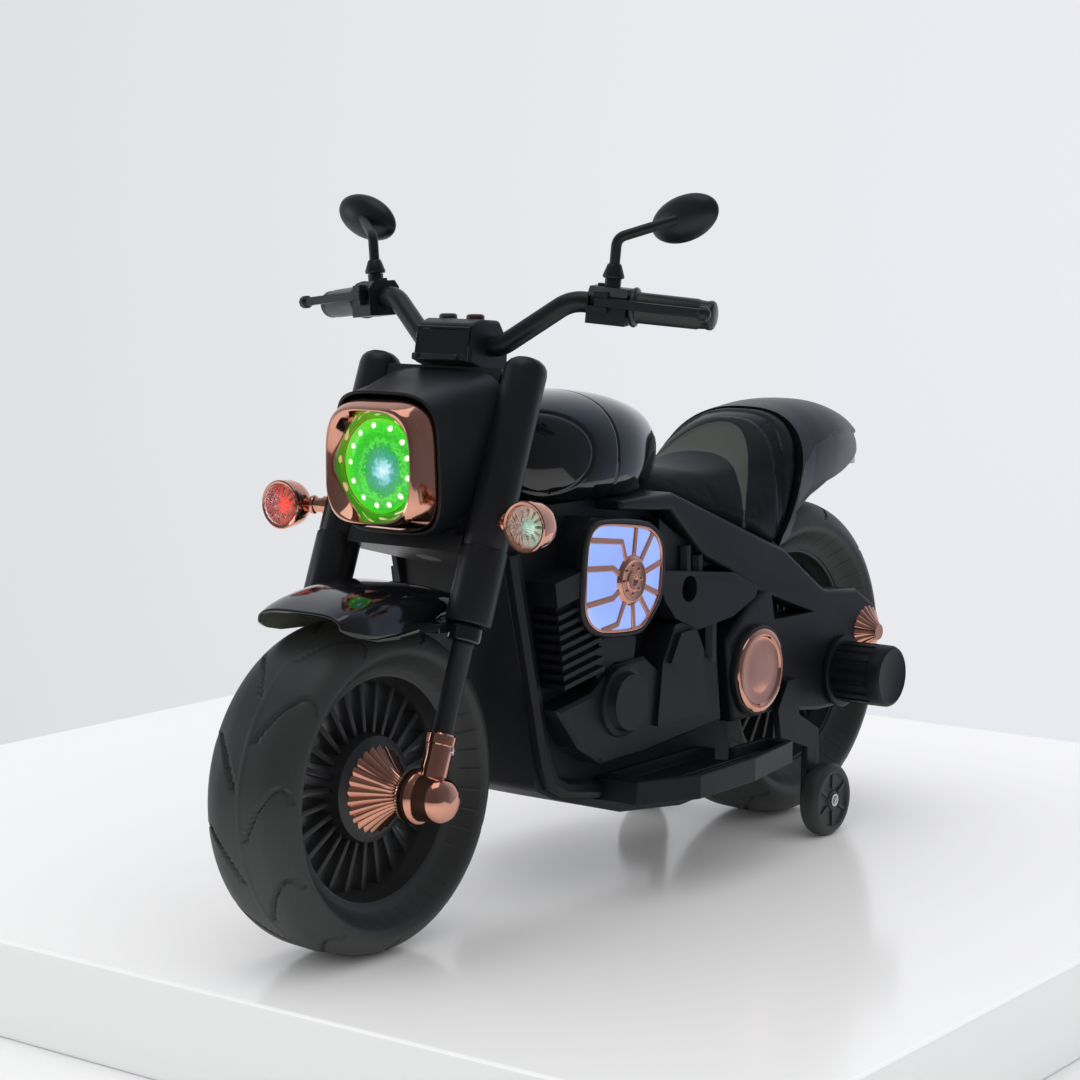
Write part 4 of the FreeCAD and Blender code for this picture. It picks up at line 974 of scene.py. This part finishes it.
tankRows = [(164, 34, 372, 424), (182, 54, 352, 446), (215, 70, 346, 455), (260, 78, 343, 457.5), (305, 77, 344, 453.5),
            (345, 64, 350, 445), (375, 47, 358, 434.5), (402, 29, 368, 421.5), (422, 14, 376, 408), (436, 5, 382, 394)]
cowlRows = [(541, 88.6, 255, 421), (560, 87.5, 260, 423), (600, 84.5, 275, 425.5), (650, 78, 285, 424),
            (700, 66, 295, 416), (740, 53, 302, 406), (775, 38, 314, 393)]
seatRows = [(372, 30, 330, 377), (404, 44, 320, 376), (440, 60, 300, 372), (480, 76, 290, 371), (520, 86, 270, 380),
            (556, 87.5, 262, 402), (590, 85, 270, 421), (640, 80, 285, 422)]


def seatLine(y):
    return 362 - (y - 345) * 72 / 195


def cowlFront(z):
    return 535 + (z - 290) * 0.5


def arch(rows, line, power):
    # Arched shell over the bike whose lower edge follows a line in the side view
    table = between(rows, 160)

    def where(u, v):
        y = rows[0][0] + (rows[-1][0] - rows[0][0]) * u
        half, low, high = rowAt(table, y)
        mid, tall = (low + high) / 2, (high - low) / 2
        flat = max(-0.97, min(0.97, (line(y) - mid) / tall))
        start = asin(bow(flat, 4 / power))
        t = start + (pi - 2 * start) * v
        return half * bow(cos(t), power), y, mid + tall * bow(sin(t), power)

    return where


tankLook = {"knee": (196.0, 407.0), "kneeReach": (42.0, 35.0), "kneeMean": 38, "groove": 1.5, "grooveHalf": 2.2,
            "sunk": 0.7, "seam": 271.0, "seamHalf": 1.4, "flank": 20, "reach": 55, "waist": 400}


def tank():
    # Glossy shell with a ringed knee panel each side and a seam round its middle
    rows = [(162.5, 3, 396, 400), (163, 22, 382, 414)] + tankRows
    where = arch(rows, lambda y: 362.4, 2.4)
    look = tankLook
    (kneeY, kneeZ), (reachY, reachZ) = look["knee"], look["kneeReach"]

    def grooved(u, v):
        x, y, z = where(u, v)
        onFlank = abs(x) > look["flank"]
        edge = (hypot((y - kneeY) / reachY, (z - kneeZ) / reachZ) - 1) * look["kneeMean"]
        cut = look["groove"] * max(0.0, 1 - abs(edge) / look["grooveHalf"])
        if edge < 0 and onFlank:
            cut = max(cut, look["sunk"])
        cut = max(cut if onFlank else 0.0, max(0.0, 1 - abs(y - look["seam"]) / look["seamHalf"]))
        shrink = 1 - cut / look["reach"]
        return at(x * shrink, y, look["waist"] + (z - look["waist"]) * shrink)

    bm = bmesh.new()
    sheet(bm, 220, 150, grooved)
    thicken(place(bm, "tank_shell", glossBlack, ["tank_cover"], smooth=60.0), 2.6)


cowlLook = {"edge": [(541, 291), (552, 292), (562, 303), (580, 322), (600, 334), (640, 345), (690, 350), (777, 364)],
            "overhang": [(541, 292), (556, 300), (560, 320), (567, 351), (582, 370), (612, 386), (658, 395), (728, 393),
                         (777, 384)],
            "tip": 775, "flank": 560, "flange": 7.0, "drawn": 0.72, "level": 330, "wall": 3.0}


def tailCowl():
    # Arched shell with a sunk flank under its overhang and a flange turned in round the saddle
    look = cowlLook
    where = arch(cowlRows, lambda y: lineAt(look["edge"], y), 2.5)

    def shaped(u, v):
        x, y, z = where(u, v)
        front = cowlFront(z)
        y = max(y, front + (look["tip"] - front) * u)
        under = lineAt(look["overhang"], y) - z
        if under > 0 and y > look["flank"]:
            x -= copysign(min(1.0, under / 2.5) * 4.0 + min(1.0, under / 45) * 9.0, x)
        return at(x, y, z)

    def pastFront(vert):
        x, y, z = spotOf(vert)
        return y - max(cowlRows[0][0], cowlFront(z))

    bm = bmesh.new()
    sheet(bm, 120, 160, shaped)
    edge = [e for e in bm.edges if e.is_boundary and max(map(pastFront, e.verts)) < 0.5]
    drawn, level = look["drawn"], look["level"]
    for vert in bmesh.ops.extrude_edge_only(bm, edges=edge)["geom"]:
        if isinstance(vert, bmesh.types.BMVert):
            x, y, z = spotOf(vert)
            vert.co = at(x * drawn, y + look["flange"], level + (z - level) * drawn)
    thicken(place(bm, "tail_cowl_moulding", satinBlack, ["tail_cowl"], smooth=40.0), look["wall"], even=False)


saddleLook = {"front": 373, "tankEnd": 440, "inCowl": 5.4, "voxel": 4.5, "pressure": 3.0, "cap": 5.0, "frames": 20,
              "sunk": 1.8, "pinch": 1.2, "fill": 0.8}


def evened(piece):
    # Applies the piece's modifiers to its mesh
    mesh = bpy.data.meshes.new_from_object(piece.evaluated_get(bpy.context.evaluated_depsgraph_get()))
    piece.modifiers.clear()
    piece.data = mesh
    return mesh


def swell(piece):
    # Even mesh, then a short pressure simulation with its movement capped
    look = saddleLook
    even = piece.modifiers.new("even mesh", "REMESH")
    even.mode = "VOXEL"
    even.voxel_size = look["voxel"] * mm
    rest = [v.co.copy() for v in evened(piece).vertices]
    cloth = piece.modifiers.new("swell", "CLOTH")
    cloth.settings.use_pressure = True
    cloth.settings.uniform_pressure_force = look["pressure"]
    cloth.settings.effector_weights.gravity = 0
    cloth.point_cache.frame_start = 1
    cloth.point_cache.frame_end = look["frames"]
    for count in range(1, look["frames"] + 1):
        scene.frame_set(count)
    evened(piece)
    scene.frame_set(1)
    cap = look["cap"] * mm
    for vert, start in zip(piece.data.vertices, rest):
        move = vert.co - start
        if move.length > cap:
            vert.co = start + move.normalized() * cap


def saddleBands(x, y):
    # Signed distances into the front ramp and the glossy strip, in plan
    share = min(1.2, abs(x) / 76)
    ramp = min(y - (518 - 35 * share ** 2.2), (562 - 79 * share ** 2.1) - y)
    across = min(1.12, abs(x) / 84)
    strip = min(y - (571 - 41 * across ** 2.6), (587 - 44 * across ** 3.2) - y)
    return ramp, strip


def rise(value):
    return min(1.0, max(0.0, value))


def saddle():
    look = saddleLook
    bm = bmesh.new()
    loft(bm, [ovalPoints(y, half - 2.5, low, high - 2.5, 2.5, 72) for y, half, low, high in between(seatRows, 60)])
    table = between(tankRows, 200)

    def settle(vert, lift):
        # Keeps the cushion on the body's line, ahead of the cowl and under the tank
        x, y, z = spotOf(vert)
        z = max(z, seatLine(y) + lift)
        y = min(y, cowlFront(z) + look["inCowl"])
        if y < look["tankEnd"]:
            half, low, high = rowAt(table, y)
            if abs(x) < half:
                under = (low + high) / 2 - (high - low) / 2 * (1 - (abs(x) / half) ** 2.4) ** (1 / 2.4)
                z = min(z, max(under - 1.5, seatLine(y) + lift))
        vert.co = at(x, max(y, look["front"]), z)

    for vert in bm.verts:
        settle(vert, 0.8)
    piece = place(bm, "saddle_cushion", saddleCover, ["seat_saddle"], smooth=60.0)
    swell(piece)
    bm = bmesh.new()
    bm.from_mesh(piece.data)
    bmesh.ops.smooth_vert(bm, verts=bm.verts, factor=0.5, use_axis_x=True, use_axis_y=True, use_axis_z=True)
    bmesh.ops.subdivide_edges(bm, edges=bm.edges, cuts=1, use_grid_fill=True, smooth=0.6)
    ramps = bm.verts.layers.float.new("ramp")
    strips = bm.verts.layers.float.new("strip")
    for vert in bm.verts:
        settle(vert, 0.6)
        x, y, z = spotOf(vert)
        ramp, strip = saddleBands(x, y)
        if z < seatLine(y) + 6:
            ramp, strip = -9.0, -9.0
        else:
            vert.co.z -= look["sunk"] * mm * (rise((ramp + 0.5) / 4.0) + rise((strip + 1) / 2.0))
            if abs(x) > 40:
                vert.co.x -= copysign(look["pinch"] * mm * rise((strip + 1) / 2.0), x)
        vert[ramps] = ramp
        vert[strips] = strip
    bmesh.ops.recalc_face_normals(bm, faces=bm.faces)
    bm.to_mesh(piece.data)
    bm.free()
    piece.data.shade_smooth()


tank()
tailCowl()
saddle()
dress("tail_light", tailLens, 1.5)
for side in ("left", "right"):
    for node, width in (("body_", 1.5), ("swingarm_", 1.6), ("engine_", 1.0)):
        dress(node + side, frameBlack, width)
dress("gearbox", frameBlack, 2.0)
keep("battery", batteryGrey)
print("body made")

# Side trim

cleanerLine = [(222, 347), (296, 336), (314, 318), (311, 270), (284, 243), (224, 248), (205, 266), (209, 332)]

# Forward bars as (edge, elbow, root) from the boss, rear bars as angles from straight up
grilleLook = {"middle": Vector((272.0, 290.0)), "stretch": (1.1, 0.98), "about": (260, 294), "bar": 7.2,
              "bossRadius": 23.5, "studs": 8,
              "forward": [((-90, 42), (-15, 36), (-9, 18)), ((-90, 17), (-29, 14), (-18, 7)),
                          ((-90, -15), (-29, -13), (-18, -7)), ((-90, -40), (-22, -37), (-11, -18))],
              "rear": [8, 40, 76, 112, 142, 176]}


def cleanerCurve():
    # Rounded outline of the air cleaner, from its middle, read off a smooth closed curve
    guide = []
    for i, spot in enumerate(cleanerLine):
        for toward in (cleanerLine[i - 1], cleanerLine[(i + 1) % len(cleanerLine)]):
            way = Vector(toward) - Vector(spot)
            guide.append((0, *(Vector(spot) + way.normalized() * min(7.0, way.length * 0.4))))
    (wide, tall), (y, z) = grilleLook["stretch"], grilleLook["about"]
    return [Vector((y + (v.co.y - y) * wide, z + (v.co.z - z) * tall)) - grilleLook["middle"]
            for v in curveMesh(guide, steps=6, closed=True).vertices]


cleanerEdge = cleanerCurve()


def cleanerRings(steps):
    middle = grilleLook["middle"]
    return [[at(x, *(middle + edge * (1 + grow / edge.length))) for edge in cleanerEdge] for x, grow in steps]


def edgeReach(way):
    # Distance from the middle to the cleaner's edge in a direction
    return max(cleanerEdge, key=lambda edge: edge.normalized().dot(way.normalized())).length


def upTurned(degrees):
    return Vector((sin(radians(degrees)), cos(radians(degrees))))


def grilleBar(bm, route):
    rings = []
    for i, point in enumerate(route):
        ahead = (route[min(i + 1, len(route) - 1)] - route[max(i - 1, 0)]).normalized()
        side = Vector((-ahead.y, ahead.x)) * grilleLook["bar"] / 2
        rings.append([at(x, *(grilleLook["middle"] + point + side * share))
                      for x, share in ((90, -1.0), (90, 1.0), (93.4, 0.7), (93.4, -0.7))])
    loft(bm, rings)


def grilleBars(bm):
    for route in grilleLook["forward"]:
        points = [Vector(point) for point in route]
        while points[0].length > edgeReach(points[0]) - 1:
            points[0].x += 1.0
        grilleBar(bm, points)
    for turn in grilleLook["rear"]:
        outward = upTurned(turn)
        grilleBar(bm, [outward * 14, outward * (edgeReach(outward) - 1)])


def airCleaner():
    bm = bmesh.new()
    loft(bm, cleanerRings([(86, -0.5), (91.8, -0.5), (92.3, -1.5)]))
    bothSides(bm)
    place(bm, "cleaner_lit_panel", blueGlow, ["cleaner_panels"], smooth=30.0)
    bm = bmesh.new()
    loft(bm, cleanerRings([(86, 6), (92.4, 6), (94, 4.6), (94, 1.8), (92, 1.2), (86, 1.2)]), closeEnds=False)
    bothSides(bm)
    place(bm, "cleaner_rims", satinBlack, [], body="chassis", slot="satin_black", smooth=30.0)
    bm = bmesh.new()
    loft(bm, cleanerRings([(87, 1.4), (93.4, 1.4), (94.2, 0.6), (94.2, -0.8), (93, -1.6), (90, -1.8)]), closeEnds=False)
    r, middle = grilleLook["bossRadius"], grilleLook["middle"]
    lathe(bm, [(90, r), (92, r - 0.4), (94.2, r - 3), (95.4, r - 5), (94.6, r - 7.5), (94.4, 10), (95.6, 9), (95.8, 5),
               (93.6, 4), (93.4, 0)], at(0, *middle), axisX, 44)
    for count in range(grilleLook["studs"]):
        spot = at(95.2, *(middle + upTurned(360 * count / grilleLook["studs"]) * 12.5))
        lathe(bm, [(-1.0, 2.0), (0.2, 1.7), (0.8, 0)], spot, axisX, 12)
    grilleBars(bm)
    bothSides(bm)
    soften(place(bm, "cleaner_grille_plated", copper, ["cleaner_grilles"], smooth=30.0), 0.5)


def timingCovers():
    centre = at(0, 486, 178)
    turnedPair("timing_cover_pair", copper, ["timing_covers"],
               [(88, 0), (88, 41), (93.5, 41), (95.4, 40.2), (96.7, 38), (97, 36), (96.6, 34), (94.6, 32.4), (94.2, 31),
                (94.8, 20), (95.2, 0)], centre, axisX, 96, smooth=26.0)
    turnedPair("timing_seat_rings", satinBlack, [],
               [(88, 40.6), (88, 44), (92, 44), (93.6, 43.4), (94.4, 42.2), (94.4, 40.6)],
               centre, axisX, 96, closed=True, body="chassis", slot="satin_black", smooth=30.0)


def rearCaps():
    bm = bmesh.new()
    for side in (1, -1):
        flutedCone(bm, at(0, 700, 188), 88, 26, 8, 14.6, 18, side)
    place(bm, "rear_cap_pair", copper, ["rear_caps"], smooth=28.0)


bobbinLook = {"centre": (648, 154), "grooves": 18, "deep": 1.6}


def bobbins():
    look = bobbinLook
    centre = at(0, *look["centre"])
    bm = bmesh.new()
    lathe(bm, [(88, 0), (88, 35), (89, 36), (93, 36), (94, 35.2), (94.6, 33), (95, 0)], centre, axisX, 72)
    loft(bm, [roundPoints(centre, x, 144, lambda t: r - (look["deep"] if cos(t * look["grooves"]) > 0.55 else 0.0))
              for x, r in ((94, 30.6), (96, 30.9), (132, 30.9), (134, 30.2))])
    lathe(bm, [(133, 0), (133, 30.4), (134, 31), (144, 30.8), (146.6, 29.6), (148, 27), (147.2, 25), (147, 0)],
          centre, axisX, 72)
    bothSides(bm)
    place(bm, "axle_bobbin_pair", frameBlack, ["axle_bobbins"], smooth=28.0)


stabiliserLook = {"axle": (585, 36), "ribs": 6, "ribSpot": (117.2, 18.5), "ribSize": (0.003, 0.0035, 0.0135)}


def stabilisers():
    look = stabiliserLook
    axle = at(0, *look["axle"])
    ribX, reach = look["ribSpot"]
    for word in ("left", "right"):
        bm = bmesh.new()
        lathe(bm, [(99, 6), (99, 30), (100, 32.5), (102.5, 35), (105, 36), (114, 36), (116.5, 35), (119, 32.5),
                   (120, 30), (119.6, 27), (117.2, 25), (116.6, 12), (117.4, 10), (119.6, 9), (119.6, 6)],
              axle, axisX, 72, closed=True)
        for k in range(look["ribs"]):
            t = 2 * pi * k / look["ribs"]
            middle = axle + Vector((ribX, reach * sin(t), reach * cos(t))) * mm
            bmesh.ops.create_cube(bm, size=1.0, matrix=Matrix.Translation(middle) @ Matrix.Rotation(-t, 4, "X")
                                  @ Matrix.Diagonal((*look["ribSize"], 1)))
        if word == "right":
            bm = flipped(bm)
        place(bm, "stabiliser_tyre_" + word, tyreBlack, ["stabiliser_wheel_" + word], smooth=30.0)
    turnedPair("stabiliser_bolts", chrome, [], [(119.9, 0), (119.9, 6.2), (121, 6.2), (121, 0)], axle, axisX, 24,
               body="chassis", slot="steel", smooth=30.0)


airCleaner()
timingCovers()
rearCaps()
bobbins()
stabilisers()
dress("stabiliser_arms", frameBlack, 1.4)
dress("footboard_left", frameBlack, 1.2)
dress("footboard_right", frameBlack, 1.2)
dress("accelerator_pedal", satinBlack, 0.8)
print("trim made")

# Stage

# The platform's side colour is painted shade: a darker tone than the top, standing for its less lit sides
stageLook = {"floor": (0.94, 0.94, 0.945), "side": (0.86, 0.865, 0.865), "low": (-0.88, -0.5), "high": (0.505, 0.815),
             "thick": 0.086, "fill": (1.0, 1.0, 1.0), "leastSeen": (0.62, 0.63, 0.64),
             "around": [(0.0, (0.10, 0.10, 0.10)), (0.5, (0.16, 0.175, 0.20)), (0.66, (0.34, 0.40, 0.50)),
                        (0.9, (0.66, 0.68, 0.72)), (1.0, (0.84, 0.84, 0.845))],
             "leftTint": (0.89, 0.905, 0.91), "rightTint": (1.03, 1.03, 1.08)}
softBoxes = {"overheadBox": ((-0.1, -0.5, 2.5), (0.2, -0.2, 0.2), (1.4, 1.4), 6),
             "leftBox": ((-2.5, -1.5, 0.8), (0, -0.2, 0.5), (0.7, 1.0), 5)}


def stagePiece(bm, name, materials):
    mesh = bpy.data.meshes.new(name)
    bm.to_mesh(mesh)
    bm.free()
    for material in materials:
        mesh.materials.append(material)
    piece = bpy.data.objects.new(name, mesh)
    scene.collection.objects.link(piece)


def paleSheet(name, colour):
    material, tree, shader = startMaterial(name)
    tint = mixColour(tree, noise(tree, surface(tree), 3.0), colour, tuple(share * 0.99 for share in colour))
    feedAll(shader, {"Base Color": tint, "Roughness": 0.16, "Specular IOR Level": 0.4})
    return material


def stage():
    # Low platform on a plain floor, its sides painted darker than its top as painted shade
    top, side = paleSheet("paleFloor", stageLook["floor"]), paleSheet("platformSidePaintedShade", stageLook["side"])
    (x0, y0), (x1, y1) = stageLook["low"], stageLook["high"]
    thick = stageLook["thick"]
    bm = bmesh.new()
    for vert in bmesh.ops.create_cube(bm, size=1.0)["verts"]:
        vert.co = Vector((x1 if vert.co.x > 0 else x0, y1 if vert.co.y > 0 else y0, 0.0 if vert.co.z > 0 else -thick))
    bmesh.ops.bevel(bm, geom=bm.edges[:], offset=0.004, offset_type="OFFSET", affect="EDGES", segments=3,
                    profile=0.5, material=-1)
    for face in bm.faces:
        if abs(face.normal.z) < 0.7:
            face.material_index = 1
    stagePiece(bm, "platform", [top, side])
    bm = bmesh.new()
    bmesh.ops.create_grid(bm, x_segments=2, y_segments=2, size=2.5, matrix=Matrix.Translation((0, -2.2, -thick)))
    stagePiece(bm, "floor", [top])


def vectorSums(tree, operation, a, b, socket="Vector"):
    node = add(tree, "VectorMath")
    node.operation = operation
    feed(node.inputs[0], a)
    feed(node.inputs["Scale" if operation == "SCALE" else 1], b)
    return node.outputs[socket]


def facing(tree, direction):
    # How far a ray of light looks towards a direction, from -1 to 1
    ray = add(tree, "TexCoord").outputs["Generated"]
    return vectorSums(tree, "DOT_PRODUCT", ray, direction, "Value")


def studio():
    # Pale behind the bike, darker behind the camera; an even fill lights the matt surfaces
    look = stageLook
    scene.world = bpy.data.worlds.new("studio")
    scene.world.use_nodes = True
    tree = scene.world.node_tree
    around = colourRamp(tree, remap(tree, facing(tree, (-0.6, 0.8, 0.0)), -1.0, 1.0), look["around"])
    side = remap(tree, facing(tree, (0.8, 0.6, 0.0)), -0.25, 0.25)
    tinted = vectorSums(tree, "MULTIPLY", around, mixColour(tree, side, look["leftTint"], look["rightTint"]))
    path = add(tree, "LightPath").outputs
    least = vectorSums(tree, "SCALE", look["leastSeen"], path["Is Camera Ray"])
    reflected = sums(tree, "MAXIMUM", path["Is Glossy Ray"], path["Is Transmission Ray"])
    seen = sums(tree, "MAXIMUM", path["Is Camera Ray"], reflected)
    pale = vectorSums(tree, "MAXIMUM", tinted, least)
    feed(tree.nodes["Background"].inputs["Color"], mixColour(tree, seen, look["fill"], pale))


def softBox(name, spot, aim, size, power):
    data = bpy.data.lights.new(name, "AREA")
    data.shape = "RECTANGLE"
    data.size, data.size_y = size
    data.energy = power
    lamp = bpy.data.objects.new(name, data)
    lamp.location = spot
    lamp.rotation_euler = (Vector(aim) - Vector(spot)).to_track_quat("-Z", "Y").to_euler()
    scene.collection.objects.link(lamp)


setCamera()
stage()
studio()
for name, (spot, aim, size, power) in softBoxes.items():
    softBox(name, spot, aim, size, power)
print("stage set")
